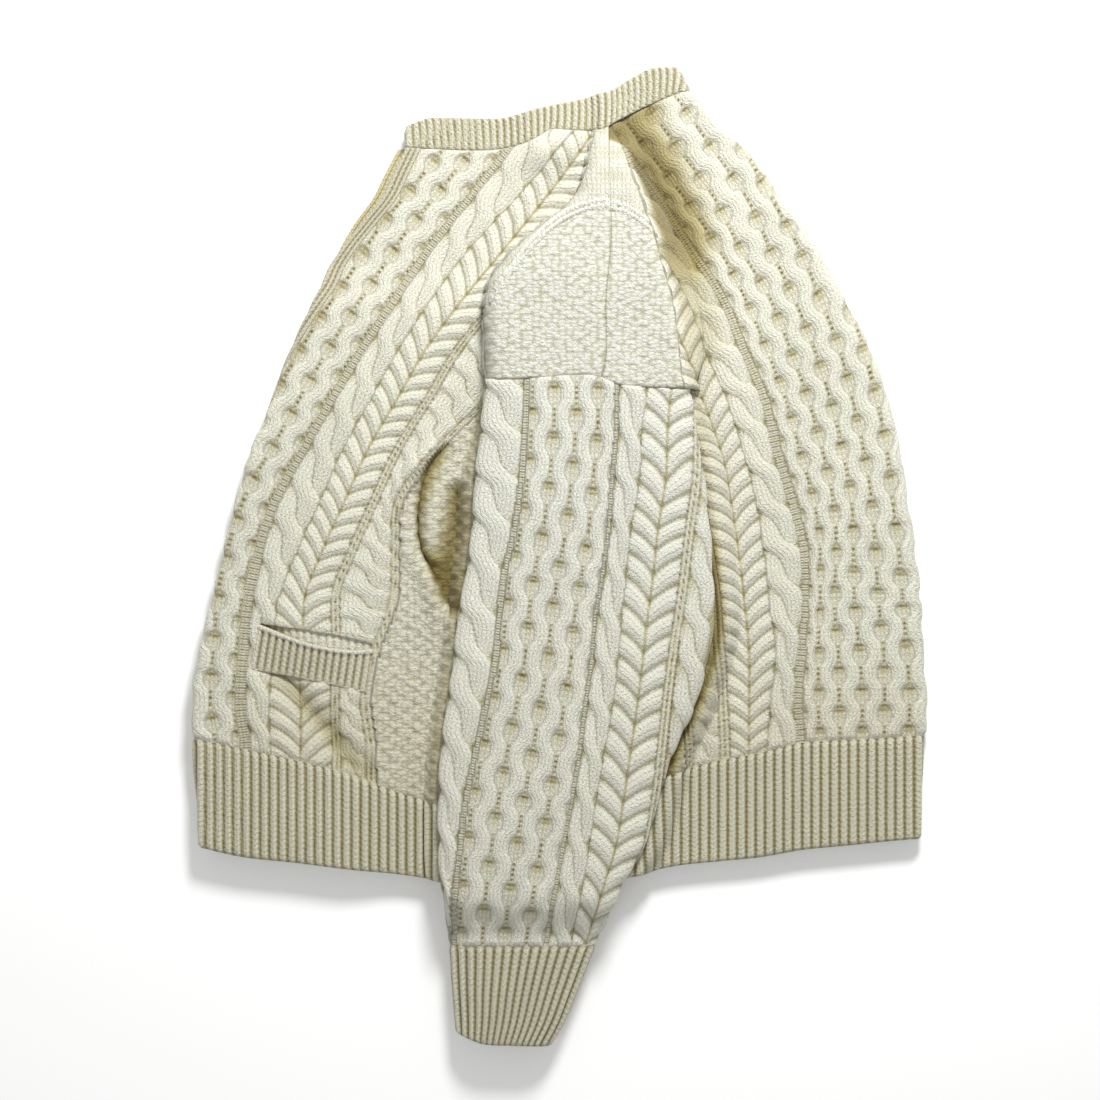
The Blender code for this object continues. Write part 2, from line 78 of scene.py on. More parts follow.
# Silhouette, one row per section from neck to hem
OUTLINE = {
    "y": (370.4, 348, 324, 304, 284, 264, 241.6, 204, 172, 137.6, 100, 64, 12, -36, -84, -116, -152, -188,
          -230, -268),
    "left": (-100, -111.2, -122.4, -132, -141.6, -157.6, -175.2, -194.4, -209.6, -224, -237.6, -249.6, -264,
             -275.2, -285.6, -290.4, -290.4, -288.8, -285.6, -284),
    "right": (104, 122.4, 145.6, 161.6, 174, 189.6, 204.8, 226.4, 241.6, 254.8, 265.6, 272, 280.4, 286, 288,
              290.4, 289.2, 288, 286.4, 285.6),
}
# Neck seam and the collar's upper edge, from the front edge to the centre back
NECK = {
    "x": (-122.4, -96, -72, -48, -32, -16, -6.4, 12, 32, 41.6, 64, 84, 97),
    "y": (324, 322.4, 321.5, 322.4, 325.6, 332, 337.6, 336.8, 336.8, 342.4, 354.4, 363.2, 368),
    "top_x": (-122.4, -100, -74, -50, -38, -20, -4, 14, 30, 40, 56, 72, 88),
    "top_y": (341, 347.5, 347, 346.8, 348.6, 354, 357.5, 361.2, 365.5, 368.8, 378.5, 386.5, 387.6),
}
# Row of the armhole seam, and the two edges of the hem rib
ARMHOLE = {
    "x": (-224, -57.6, -16, 16, 32, 44, 64, 99.2, 254.8),
    "y": (137.6, 137.6, 139, 141, 139, 134, 132, 131, 131),
}
HEM = {
    "x": (-289.6, -256, -208, -164, -128, -96, -48, 0, 48, 96, 128, 160, 192, 224, 256, 288.8),
    "top": (-146.4, -153.6, -164, -176, -190, -198.4, -205.6, -204, -192, -172, -164, -158, -150, -148,
            -146.4, -144),
    "bottom": (-230.4, -238.4, -244, -249.6, -253.6, -258.4, -262.4, -263.2, -256, -246.4, -243.2, -240,
               -234.4, -231.2, -228, -224.8),
}
# Left sleeve's outline from armhole to cuff end
SLEEVE = {
    "y": (137.6, 100, 60, 20, -20, -52, -84, -116, -152, -196, -229.6, -260, -285.6, -308, -344, -372, -388),
    "left": (-57.6, -60.8, -65.6, -68, -73.6, -79.2, -82.4, -87.2, -92, -94.4, -94.4, -91.2, -87.2, -85.6,
             -83.2, -80.8, -79.6),
    "right": (99.2, 105.6, 111.2, 115.2, 118.4, 120.8, 115.2, 104.8, 88, 74.8, 64, 47.2, 36, 26.4, 12, 0,
              -9.6),
}
CUFF_TOP = -308.0
CUFF_END = {"share": (0, 0.2, 0.6, 1), "y": (-378.4, -384.8, -387.2, -388)}
RIGHT_CUFF_SHORTER = 5.0
# How far each front is wrapped in, measured from its own edge (less than zero: it lies flat)
WRAP = {
    "y": (324, 241.6, 215, 185, 150, 110, 70, 0, -68, -230),
    "left": (-5.5, -5.5, -1, 4.5, 10, 16, 21, 27, 30, 30),
}
# How far the right front's edge shows beyond the left one's
PEEK = {"y": (340, 324, 304, 284, 264, 246, 225, -268), "x": (5, 7, 8, 8.5, 7, 3, -1.5, -1.5)}
# Shoulder seam down to the armhole, then side seam under the sleeve
SIDE = {"y": (370, 328, 252, 204, 137.6, 100, -268), "x": (38, 38.4, 40, 36, 32, 14, 12)}
# Shoulder cap: its front foot, its back foot, the width of its back slope and its rise over the body
CAP = {
    "y": (370, 336, 320, 300, 284, 272, 260, 248, 232, 218, 204, 172, 137.6, 100),
    "foot": (30, 27, 24, 19, 12, 2, -14, -28, -44, -54, -58, -59, -57.6, -60.8),
    "back": (52, 56, 68, 76, 84, 88, 92, 96, 100, 104, 108, 112, 108, 112),
    "slope": (14, 18, 24, 26, 28, 28, 28, 28, 28, 28, 28, 26, 16, 14),
    "rise": (4, 7, 14, 20, 23, 24, 25, 26, 27, 28, 28.5, 29, 29.3, 29.3),
}
# Soft ridges (+) and troughs (-) of the upper layer: x, y, half length, half width, direction, height
CREASES = (
    (-6, 322, 26, 15, 15, 8.0),
    (-78, 2, 50, 9, 97, -2.5),
    (-99, 4, 62, 9, 92, 5.0),
    (-104, 78, 26, 10, 50, 4.0),
    (88, 286, 52, 14, -62, -4.0),
    (150, 90, 120, 26, -78, 4.0),
    (-206, -118, 55, 12, -52, -1.5),
    (135, -95, 45, 12, 80, -3.0),
)
# Pocket opening in the front panel: rows and column shares it takes up
POCKET_ROWS = (1.655, 1.776)
POCKET_COLUMNS = (9, 12)
FRONT_SHARES = (0, 0.19, 0.34, 0.5, 0.655, 0.76, 0.85, 0.93, 1)


def read(table, key, value, across="y"):
    """The table's column at this value, as a smooth curve through its rows."""
    knots = np.array(table[across], float)
    column = np.array(table[key], float)
    if knots[0] > knots[-1]:
        knots, column = knots[::-1], column[::-1]
    slope = np.gradient(column, knots)
    rise = np.diff(column) / np.diff(knots)
    flat = np.concatenate([[False], rise[:-1] * rise[1:] <= 0, [False]])
    slope[flat] = 0
    value = np.clip(value, knots[0], knots[-1])
    i = np.clip(np.searchsorted(knots, value, side="right") - 1, 0, len(knots) - 2)
    step = knots[i + 1] - knots[i]
    t = (value - knots[i]) / step
    return (
        (2 * t**3 - 3 * t**2 + 1) * column[i]
        + (t**3 - 2 * t**2 + t) * step * slope[i]
        + (3 * t**2 - 2 * t**3) * column[i + 1]
        + (t**3 - t**2) * step * slope[i + 1]
    )


def ease(value):
    t = np.clip(value, 0, 1)
    return t * t * (3 - 2 * t)


def bulge(value):
    """A quarter of an ellipse: steep at 0, level at 1."""
    t = np.clip(value, 0, 1)
    return np.sqrt(1 - (1 - t) ** 2)


def bell(distance, reach):
    """1 at no distance, fading out on both sides over this reach."""
    return np.exp(-((distance / reach) ** 2))


def share_across(x, y):
    left, right = read(OUTLINE, "left", y), read(OUTLINE, "right", y)
    return (x - left) / (right - left)


def row_curve(table, key, share):
    """Height along Y of a named row where it crosses this share of the garment's width."""
    y = np.array(table[key], float)
    shares = share_across(np.array(table["x"], float), y)
    return read({"share": shares, "y": y}, "y", share, across="share")


def row_y(v, share):
    """Row 0 is the neck, 1 the armhole, 2 the top of the hem rib, 3 its edge."""
    rows = ((NECK, "y"), (ARMHOLE, "y"), (HEM, "top"), (HEM, "bottom"))
    curves = [row_curve(table, key, share) for table, key in rows]
    i = np.clip(np.floor(v), 0, 2).astype(int)
    above = np.choose(i, curves[:3])
    below = np.choose(i, curves[1:])
    return above + (below - above) * (v - i)


def settle(v, x_of_y):
    """(x, y) where row v crosses a line that is given as x for each y."""
    y = row_y(v, np.full(np.shape(v), 0.4))
    for _ in range(8):
        y = row_y(v, share_across(x_of_y(y), y))
    return x_of_y(y) + 0 * y, y


# --- The cloth's middle surface: a point for each row v and column c ---
def lift(x, y, lower):
    """The body is raised where the right sleeve lies under it, below the armholes."""
    spread = LIFT_SPREAD * ease((LIFT_TOP - y) / LIFT_RUN)
    left = ease((x - read(SLEEVE, "left", y) + spread) / 12)
    right = ease((read(SLEEVE, "right", y) + BACK_SLACK + spread - x) / 14)
    return np.where(lower, RIGHT_SLEEVE_STACK * left * right, 0)


def body_gap(x, y):
    """Middle to middle of the two body layers, more where the front edges are wrapped in."""
    wrapped = ease((read(WRAP, "left", y) + 5) / 9)
    start, run = WRAP_FADE
    near_front = 1 - ease((x - read(OUTLINE, "left", y) - start) / run)
    return BODY_SPACING + WRAP_SPACING * wrapped * near_front


def creases(x, y):
    total = np.zeros(np.shape(x))
    for at_x, at_y, long, wide, direction, high in CREASES:
        turn = math.radians(direction)
        dx, dy = x - at_x, y - at_y
        along = (dx * math.cos(turn) + dy * math.sin(turn)) / long
        over = (dy * math.cos(turn) - dx * math.sin(turn)) / wide
        total = total + high * np.exp(-(along**2) - over**2)
    under_sleeve = ease((x - read(SLEEVE, "left", y)) / 14) * ease((read(SLEEVE, "right", y) + 4 - x) / 14)
    edges = ease(share_across(x, y) / 0.05) * ease((1 - share_across(x, y)) / 0.05)
    return total * edges * np.where(y < ARMHOLE_LINE, 1 - under_sleeve, 1)


def cap(x, y):
    """Height of the left shoulder over the flat body."""
    foot, back = read(CAP, "foot", y), read(CAP, "back", y)
    near_armhole = ease((204 - y) / 60)
    front = bulge((x - foot) / CAP_EDGE)
    slope = (back - x) / read(CAP, "slope", y)
    rear = ease(slope) * (1 - near_armhole) + bulge(slope) * near_armhole
    return read(CAP, "rise", y) * front * rear


def lower_layer(x, y, lower):
    return LOWER_MIDDLE + lift(x, y, lower)


def upper_layer(x, y, lower):
    plain = lower_layer(x, y, lower) + body_gap(x, y) + creases(x, y)
    return plain + np.where(lower, 0, cap(x, y))


def front_path(s, y, peek):
    """Across a front whose edge turns in: (x, distance from its layer) at s from that edge."""
    wrap = read(WRAP, "left", y)
    quarter = math.pi * FOLD_RADIUS / 2
    centre = read(OUTLINE, "left", y) - peek + (FOLD_RADIUS + WALL / 2) * ease((wrap + quarter) / quarter)
    past = s - wrap
    angle = np.clip(past / FOLD_RADIUS, -math.pi / 2, math.pi / 2)
    x = centre - FOLD_RADIUS * np.cos(angle) + np.maximum(np.abs(past) - quarter, 0)
    return x, FOLD_RADIUS * (1 - np.sin(angle))


def foot_line(y):
    return np.where(y > ARMHOLE_LINE, read(CAP, "foot", y), read(SLEEVE, "left", y))


def back_line(y):
    return np.where(y > ARMHOLE_LINE, read(CAP, "back", y), read(SLEEVE, "right", y) + BACK_SLACK)


# Columns of a front, counted from its band: 0-4 turned in, 4-8 round the fold, 8-16 across,
# 16-19 up the cap's edge, 19-22 over the cap to the side seam.
TURN_START, TURN_END, FOOT, RIM, FRONT_LAST = 4, 8, 16, 19, 22


def front_column(c, y, peek):
    """(x, distance from its layer) of a front's column c."""
    start = BAND_WIDTH + SEAM
    turn = math.pi * FOLD_RADIUS
    turn_start = np.maximum(read(WRAP, "left", y) - turn / 2, start + 1.6)
    flap = start + (turn_start - start) * np.clip(c / TURN_START, 0, 1)
    s = flap + turn * np.clip((c - TURN_START) / (TURN_END - TURN_START), 0, 1)
    x, away = front_path(s, y, peek)
    foot, side = foot_line(y), read(SIDE, "x", y)
    rim, side = foot + np.minimum(CAP_EDGE, 0.6 * (side - foot)), side - SEAM / 2
    x = x + (foot - x) * np.interp(c, np.arange(TURN_END, FOOT + 1), FRONT_SHARES)
    x = x + (rim - foot) * np.clip((c - FOOT) / (RIM - FOOT), 0, 1) ** 2
    x = x + (side - rim) * np.clip((c - RIM) / (FRONT_LAST - RIM), 0, 1)
    return x, away * (c < TURN_END)


def on_left(path):
    """Points of the left front, which lies on top, along this path across it."""

    def point(v, place, lower):
        x, y = settle(v, lambda y: path(place, y, 0.0)[0])
        return x, y, upper_layer(x, y, lower) - path(place, y, 0.0)[1]

    return point


def on_right(path):
    """Points of the right front, which lies below and peeks out, with a shorter hem."""

    def point(v, place, lower):
        x, y = settle(v, lambda y: path(place, y, read(PEEK, "x", y))[0])
        away = path(place, y, read(PEEK, "x", y))[1]
        return x, y + HEM_TUCK * np.maximum(v - 2, 0), lower_layer(x, y, lower) + away

    return point


front_left, band_left = on_left(front_column), on_left(front_path)
front_right, band_right = on_right(front_column), on_right(front_path)

# Columns of the back: 0-3 over the cap, 3-7 down its slope, 7-11 across, 11-16 round the centre
# back, 16-20 across the lower layer, 20-25 to the right side seam.
BACK_KNOTS = (0, 3, 7, 11, 16, 20, 23, 25)
BACK_MIDDLE = 13.5


def back_column(c, y):
    side, back = read(SIDE, "x", y), back_line(y)
    rim = np.maximum(back - read(CAP, "slope", y), side + 0.3 * (back - side))
    side = side + SEAM / 2
    turn = read(OUTLINE, "right", y) - WALL / 2 - BODY_SPACING / 2
    lines = (side, rim, back, turn, turn, back, rim, side)
    x = lines[0]
    for start, end, near, far in zip(BACK_KNOTS, BACK_KNOTS[1:], lines, lines[1:]):
        x = x + (far - near) * np.clip((c - start) / (end - start), 0, 1)
    return x


def folded_round(x, y, low, high, turn):
    """A point on the half circle that joins the upper layer, at turn 0, to the lower one."""
    radius = (high - low) / 2
    return x + radius * np.sin(turn), y, (high + low) / 2 + radius * np.cos(turn)


def back(v, c, lower):
    x, y = settle(v, lambda y: back_column(c, y))
    fold_start, fold_end = BACK_KNOTS[3:5]
    turn = math.pi * np.clip((c - fold_start) / (fold_end - fold_start), 0, 1)
    x, y, z = folded_round(x, y, lower_layer(x, y, lower), upper_layer(x, y, lower), turn)
    return x, y + HEM_TUCK * np.maximum(v - 2, 0) * (turn > math.pi / 2), z


# Columns of the collar: 0-12 over the upper layer, 12-16 round the centre back, 16-28 back again.
COLLAR_TURN, COLLAR_BACK, COLLAR_LAST = 12, 16, 28


def collar(t, c, _lower):
    k = np.where(c <= COLLAR_TURN, c, np.where(c >= COLLAR_BACK, COLLAR_LAST - c, COLLAR_TURN))
    rows = {"k": np.arange(len(NECK["x"])), **NECK}
    past = (c - COLLAR_TURN) / (COLLAR_BACK - COLLAR_TURN)
    foot_x, foot_y = settle(np.zeros(np.shape(c)), lambda y: read(rows, "x", k, across="k"))
    under = 1.5 * t * ease(past)
    x = foot_x + (read(rows, "top_x", k, across="k") - foot_x) * t - under
    y = foot_y + (read(rows, "top_y", k, across="k") - foot_y) * t - under + 2.5 * SEAM
    low, high = lower_layer(foot_x, foot_y, False), upper_layer(foot_x, foot_y, False)
    return folded_round(x, y, low, high, math.pi * np.clip(past, 0, 1))


def pocket_lining(v, c, lower):
    x, y, z = front_left(v, c, lower)
    return x, y, z - POCKET_DEPTH


def tube(inset_top, inset, start, end, stands_on):
    """Points of a flattened tube: w runs down it, ring 0-1 over its upper half, 1-2 back under it."""

    def point(w, ring, _lower):
        over = ring <= 1
        across = np.where(over, ring, 2 - ring)
        across = (1 - np.cos(math.pi * across)) / 2
        y = np.full(np.shape(ring), 0.0)
        for _ in range(5):
            inset_here = inset + (inset_top - inset) * ease((y - INSET_LOW) / INSET_RUN)
            left, right = read(SLEEVE, "left", y) + inset_here, read(SLEEVE, "right", y) - inset_here
            x = left + (right - left) * across
            from_y, to_y = start(x, y), end(across)
            y = from_y + (to_y - from_y) * w
        rounding = bulge(np.minimum(across, 1 - across) * (right - left) / SLEEVE_EDGE)
        base, crown = stands_on(y)
        half = SLEEVE_HEIGHT / 2
        top = (half + crown * (1 - (2 * across - 1) ** 4)) * rounding
        return x, y, base + half + np.where(over, top, -half * rounding)

    return point


def straight(y):
    """An end of a tube that runs straight across at this height."""
    return lambda place, _y=None: y + 0 * place


def armhole_y(x, y):
    return row_y(np.ones(np.shape(x)), share_across(x, y)) - 5 * SEAM


def cuff_end(across):
    return read(CUFF_END, "y", across, across="share")


def right_cuff_end(across):
    return cuff_end(across) + RIGHT_CUFF_SHORTER


def on_body(y):
    """Base and crown of the left sleeve: on the body, then down on to the right cuff."""
    past_hem = ease((HEM_LINE - y) / HEM_DROP)
    low = LOWER_MIDDLE + SLEEVE_HEIGHT + WALL + REST_GAP
    crown = SLEEVE_CROWN + 2.0 * past_hem
    return LEFT_SLEEVE_BASE + (low - LEFT_SLEEVE_BASE) * past_hem, crown


def on_ground(y):
    return LOWER_MIDDLE + 0 * y, 0.0


SLEEVE_FOOT = straight(CUFF_TOP + SEAM / 2)
left_sleeve = tube(0, 0, armhole_y, SLEEVE_FOOT, on_body)
left_cuff = tube(0, 0, straight(CUFF_TOP - SEAM), cuff_end, on_body)
right_sleeve = tube(RIGHT_INSET_TOP, RIGHT_INSET, armhole_y, SLEEVE_FOOT, on_ground)
right_cuff = tube(RIGHT_INSET, RIGHT_INSET, straight(CUFF_TOP - 2 * SEAM), right_cuff_end, on_ground)


# --- Where the stripes of the pattern run: X of each stripe's edge, a row for each height Y ---
BODY_ROWS = (324, 284, 244, 204, 164, 124, 84, 44, 4, -36, -76, -116, -156, -260)
FRONT_STRIPES = {
    "y": BODY_ROWS,
    "gap": (-40, -72, -104, -130.4, -156.8, -180.8, -203.2, -225.6, -239.2, -248, -252, -254.4, -250, -250),
    "rope": (-36, -68, -99.5, -126, -152.5, -176.5, -199, -221, -234.5, -243, -247, -249, -245, -245),
    "wheat": (0, -34.4, -71.2, -100.8, -127.2, -149.6, -172, -189.6, -208, -223.2, -227.2, -230.4, -229.6,
              -229),
    "line_1": (36, 12, -16, -51.2, -84, -108, -132, -150.4, -168, -181.6, -181, -182, -181, -181),
    "rope_2": (43, 20, -8.5, -44, -77, -101, -125, -143.2, -160.8, -174.4, -174, -175, -174, -174),
    "line_2": (70, 50, 24, -8, -38, -62, -101, -130.4, -134, -136, -150, -159, -154, -154),
    "basket": (77, 57, 31, -1, -31, -55, -94, -123, -127, -129, -143, -150, -146, -146),
}
BACK_STRIPES = {
    "y": BODY_ROWS,
    "line_2": (-60, -32, -6, 16, 34, 50, 68, 76, 84, 91, 94, 96, 98, 98),
    "rope_2": (-52, -24, 2, 24, 42, 58, 76, 84, 92, 99, 100, 103, 105, 105),
    "line_1": (-24, 2, 29, 50, 68, 86, 101, 106, 113, 119, 121, 125, 127, 127),
    "wheat": (-16, 9.6, 36.8, 57.6, 76, 94, 109, 115, 121.6, 127.2, 129.6, 133.6, 135.2, 135),
    "rope": (16, 45.6, 73.6, 98.4, 114.4, 132, 144.8, 155.2, 161.6, 165.6, 171.2, 167.2, 164.8, 165),
    "gap": (40, 72, 99.2, 125.6, 141.6, 158.4, 168, 180, 190.4, 192, 188.8, 185.6, 188.8, 188),
    "cell_0": (50, 82, 108, 132.5, 149, 166, 176, 188, 197, 197.5, 195.5, 193, 195, 195),
    "cell_1": (68, 100, 125.6, 146.4, 163.2, 178.4, 189.6, 200.8, 206.4, 206.4, 204.8, 204.8, 206.4, 206),
    "cell_2": (93.6, 122.4, 142.4, 166.4, 182.4, 196.8, 208, 216.8, 219.2, 217.6, 220.8, 221.6, 222.4, 222),
    "cell_3": (120, 148, 166.4, 185.6, 201.6, 214.4, 224, 231.2, 232.8, 233.6, 237.6, 240, 240, 240),
    "cell_4": (144, 167.2, 189.6, 206.4, 221.6, 232, 240.8, 247.2, 250.4, 252.8, 256.8, 257.6, 257.6, 257),
    "cell_5": (166.4, 189.6, 210.4, 226.4, 240, 251.2, 259.2, 264, 268.8, 272, 275.2, 277.6, 276, 275),
}
SLEEVE_STRIPES = {
    "y": (137.6, 100, 60, 20, -20, -52, -84, -116, -152, -196, -230, -260, -286, -308),
    "gap_1": (-26.4, -27.2, -30.4, -36, -44.8, -48, -51.2, -57.6, -65.6, -74.4, -78.4, -81.6, -83.2, -83.2),
    "gap_2": (43.2, 42.8, 39.2, 36, 30.4, 24.8, 22.4, 17.6, 13.2, 6.4, -0.4, -5.6, -10.4, -13.6),
    "wheat": (71.2, 65.2, 63.2, 56, 52, 48, 45.6, 41.6, 35.2, 27.6, 22.4, 17.6, 12, 8.8),
    "line_1": (107, 105.6, 104, 98.4, 93.6, 88.8, 84, 80, 76, 70.4, 64, 50, 40, 30),
    "rope_2": (114, 113, 111.5, 106, 101, 96, 92, 88, 84, 79, 72, 58, 48, 38),
}

# --- Sizes of the pattern, in millimetres ---
CELL = 18.5  # one column of honeycomb
CELL_SWING = 2.7  # how far its strands swing to each side
CELL_STRAND = 7.0  # half the width of a strand at its foot
CELL_FLOOR = 2.0  # height of the knit at the rim of each cell
GAP_HALF = 4.0  # half the purl channel beside a rope
LINE = 7.4  # two fine ridges between the cables
STITCH = 3.1
BLOCK_WIDE, BLOCK_TALL = 8.5, 5.6  # one block of the basket pattern
PURL_ROW = 4.3
RIDGE = 4.4  # one of the two ridges round the shoulder
# Lengths down a stripe: from one crossing of a rope to the next, one arm of wheat, one cell of honeycomb
BODY_ROPE, SLEEVE_ROPE, SMALL_ROPE, SLEEVE_SMALL_ROPE = 33.5, 36.0, 19.0, 34.0
FRONT_WHEAT, BACK_WHEAT, SLEEVE_WHEAT = 15.0, 14.6, 19.5
FRONT_CELL, BACK_CELL, SLEEVE_CELL = 30.0, 32.0, 37.5
SMALL_HIGH = 3.2  # height of the strands of a small rope
TURNED_UNDER = 38.0  # width of the wheat stripe that is turned under at the sleeve's front edge
KNIT, PURL, MOSS = 0.0, 1.0, 2.0  # what the wool is told about its stitches


def stripe(table, name, y):
    """X of a stripe's edge, carried straight on above the table's first row."""
    top, following = table["y"][:2]
    slope = (table[name][0] - table[name][1]) / (top - following)
    return read(table, name, y) + slope * np.maximum(y - top, 0)


# --- The stitches: (height over the ground, across, along, how purled, painted crease shade) at u across, t down ---
def dome(distance, radius):
    """Round top of a strand: 1 on its middle line, 0 at its edge and beyond."""
    return np.sqrt(np.clip(1 - (distance / radius) ** 2, 0, 1))


def piled(strands):
    """The highest of several strands: (height, across it, how near it is to another one's foot, which is
    painted as crease shade).
    """
    height, across = strands[0]
    second = np.zeros_like(height)
    for lifted, away in strands[1:]:
        second = np.maximum(second, np.minimum(height, lifted))
        across = np.where(lifted > height, away, across)
        height = np.maximum(height, lifted)
    crease_shade = np.clip(1 - (height - second) / 0.75, 0, 1) * (second > 0.12)
    return height, across, crease_shade


def honeycomb(cells, t, width, period):
    """Strands that swing towards each neighbour in turn. cells counts columns, whole at each pit line."""
    strands = []
    nearest = np.floor(cells)
    swing = CELL_SWING / CELL
    for offset in (-1, 0, 1):
        strand = nearest + offset
        phase = 2 * np.pi * t / period + np.pi * strand
        line = strand + 0.5 + swing * (np.cos(phase) - 0.1 * np.cos(3 * phase))
        slope = -swing * width * (np.sin(phase) - 0.3 * np.sin(3 * phase)) * 2 * np.pi / period
        away = (cells - line) * width / np.sqrt(1 + slope**2)
        strands.append((4.0 * dome(away, CELL_STRAND * width / CELL) ** 1.2, away))
    height, across, _ = piled(strands)
    from_line = (cells - np.round(cells)) * width
    phase = 2 * np.pi * t / period + np.pi * np.round(cells)
    meeting, top_of_cell = -np.cos(phase), np.clip(-np.sin(phase), 0, 1)
    open_cell = np.clip(-meeting, 0, 1)
    inside = open_cell * bell(from_line, 5.5)
    floor = CELL_FLOOR - 2.1 * inside * (0.2 + 0.8 * top_of_cell)
    # Painted shade: dark dots where two strands meet, and a painted shadow under the upper strand of each
    # open cell
    dotted = 1.3 * np.clip(1 - np.abs(from_line) / 1.8, 0, 1) * np.clip(0.45 + meeting, 0, 1)
    arc = np.sqrt(open_cell) * top_of_cell**2 * bell(from_line, 4.5)
    shadow = (1.5 * arc + 0.15 * inside) * np.clip(1.6 - 0.5 * height, 0, 1)
    crease_shade = np.clip(np.maximum(dotted, shadow), 0, 1)
    across = np.where(height < floor, from_line, across)
    near = np.clip(1 - np.abs(height - floor), 0, 1)
    filled = np.maximum(height, floor) + near**2 / 4
    return filled, across, t + 0 * cells, KNIT, crease_shade


def rope(u, t, width, period, high=4.3):
    """Two strands twisted so that the one on top always runs down to the right."""
    half = width / 2
    swing, radius = half * 0.43, half * 0.66
    strands = []
    for side in (0, 1):
        phase = np.pi * t / period + side * np.pi
        line = -swing * (1.12 * np.cos(phase) - 0.12 * np.cos(3 * phase))
        slope = swing * (1.12 * np.sin(phase) - 0.36 * np.sin(3 * phase)) * np.pi / period
        away = (u - half - line) / np.sqrt(1 + slope**2)
        over = 0.74 + 0.26 * np.sin(phase)
        strands.append((high * over * dome(away, radius) ** 0.8, away))
    height, across, crease_shade = piled(strands)
    # Painted shade where one strand meets the other
    return height, across, t + 0 * u, KNIT, 0.5 * crease_shade * (height > 1)


def wheat(u, t, width, period):
    """Plump arms that come down from both sides and meet in the middle."""
    inward = np.abs(u - width / 2)
    far = inward / (width / 2)
    phase = (t + inward * 1.1 * (1 - 0.3 * far)) / period + 0.08 * np.sin(t / 19)
    part = phase - np.floor(phase)
    arm = np.clip(np.sin(np.pi * part**1.2), 0, 1) ** 0.9
    body = dome(inward - width * 0.25, width * 0.268)
    height = 3.8 * (0.3 + 0.7 * arm) * body**0.8
    # Painted shade between the arms and down the middle
    crease_shade = np.clip(1 - np.minimum(part, 1 - part) * period / 1.8, 0, 1) * (0.12 + 0.4 * far**2)
    crease_shade = np.maximum(crease_shade, 0.75 * np.clip(1 - inward / 1.3, 0, 1))
    return height, (part - 0.5) * period * 0.62, inward * 1.5, KNIT, crease_shade


def fine_lines(u, t, width):
    part = np.clip(u / width, 0, 1)
    ridge = np.abs(np.sin(2 * np.pi * part))
    height = 2.2 * ridge**0.8 * (0.9 + 0.1 * np.cos(2 * np.pi * t / 4.2))
    # Painted shade in the grooves of the fine ridges
    return height, (part * 2 % 1 - 0.5) * STITCH, t, KNIT, 0.8 * np.clip(1 - ridge / 0.45, 0, 1)


def basket(u, t):
    """Basket blocks, each of moss stitches too small to model one by one: those are in the wool."""
    wide = np.sin(np.pi * u / BLOCK_WIDE + 0.5 * np.sin(t / 13))
    tall = np.sin(np.pi * t / BLOCK_TALL + 0.4 * np.sin(u / 11))
    return 2.3 + 0.5 * np.tanh(2.5 * wide * tall), u, t, MOSS, 0.0


def ground(u, t, _width=None):
    wave = np.cos(2 * np.pi * t / PURL_ROW)
    # Painted shade between the purl bars
    return 1.45 + 0.45 * wave, u, t, PURL, 0.16 - 0.16 * wave


def ribs(u, t, pitch, high):
    part = u / pitch - np.floor(u / pitch) - 0.5
    ridge = 0.5 + 0.5 * np.cos(2 * np.pi * part)
    # Painted shade in the grooves between the ribs
    groove = np.clip((np.abs(part) - 0.3) / 0.2, 0, 1)
    return high * ridge**0.75, part * STITCH, t, KNIT, 0.62 * groove


# --- The pattern of each panel ---
BODY_ENDS = (400.0, -270.0)  # the stretch of Y in which its stripes are measured
SLEEVE_ENDS = (140.0, -310.0)


def top_of_slope(y, share=0.8):
    """X at this share of the way up the cap's back slope."""
    return read(CAP, "back", y) - share * read(CAP, "slope", y)


class Stripes:
    """A panel's pattern at points x, y, laid stripe by stripe, each one measured along the main stripe."""

    def __init__(self, table, main, ends, x, y):
        self.table, self.ends, self.x, self.y = table, ends, x, y
        self.parts = tuple(np.zeros(np.shape(x)) for _ in range(5))
        self.edge = {name: stripe(table, name, y) for name in table if name != "y"}
        travelled, slant = self.run_down(main)
        self.cosine = 1 / np.sqrt(1 + slant**2)
        self.t = travelled + (x - self.edge[main]) * slant * self.cosine

    def run_down(self, name):
        """Distance along a stripe's edge from its top, and its slant, at each height."""
        start, end = self.ends
        ys = np.linspace(start, end, 400)
        xs = stripe(self.table, name, ys)
        travelled = np.concatenate([[0], np.cumsum(np.hypot(np.diff(xs), np.diff(ys)))])
        y = np.clip(self.y, end, start)
        return np.interp(-y, -ys, travelled), np.interp(-y, -ys, -np.gradient(xs, ys))

    def down(self, name, following):
        """Distance down the stripe between two edges, if it slants like the first of them."""
        travelled, slant = self.run_down(name)
        middle = (self.edge[name] + self.edge[following]) / 2
        return travelled + (self.x - middle) * slant / np.sqrt(1 + slant**2)

    def cover(self, where, found):
        for store, value in zip(self.parts, found):
            store[where] = np.broadcast_to(value, where.shape)[where]

    def lay(self, name, following, stitches, *sizes, t=None, width=None):
        """Covers all that lies before the following edge with these stitches, measured from this edge."""
        if width is None:
            width = (self.edge[following] - self.edge[name]) * self.cosine
        u = (self.x - self.edge[name]) * self.cosine
        before = self.x < self.edge[following] if following else np.ones(np.shape(self.x), bool)
        self.cover(before, stitches(u, self.t if t is None else t, width, *sizes))


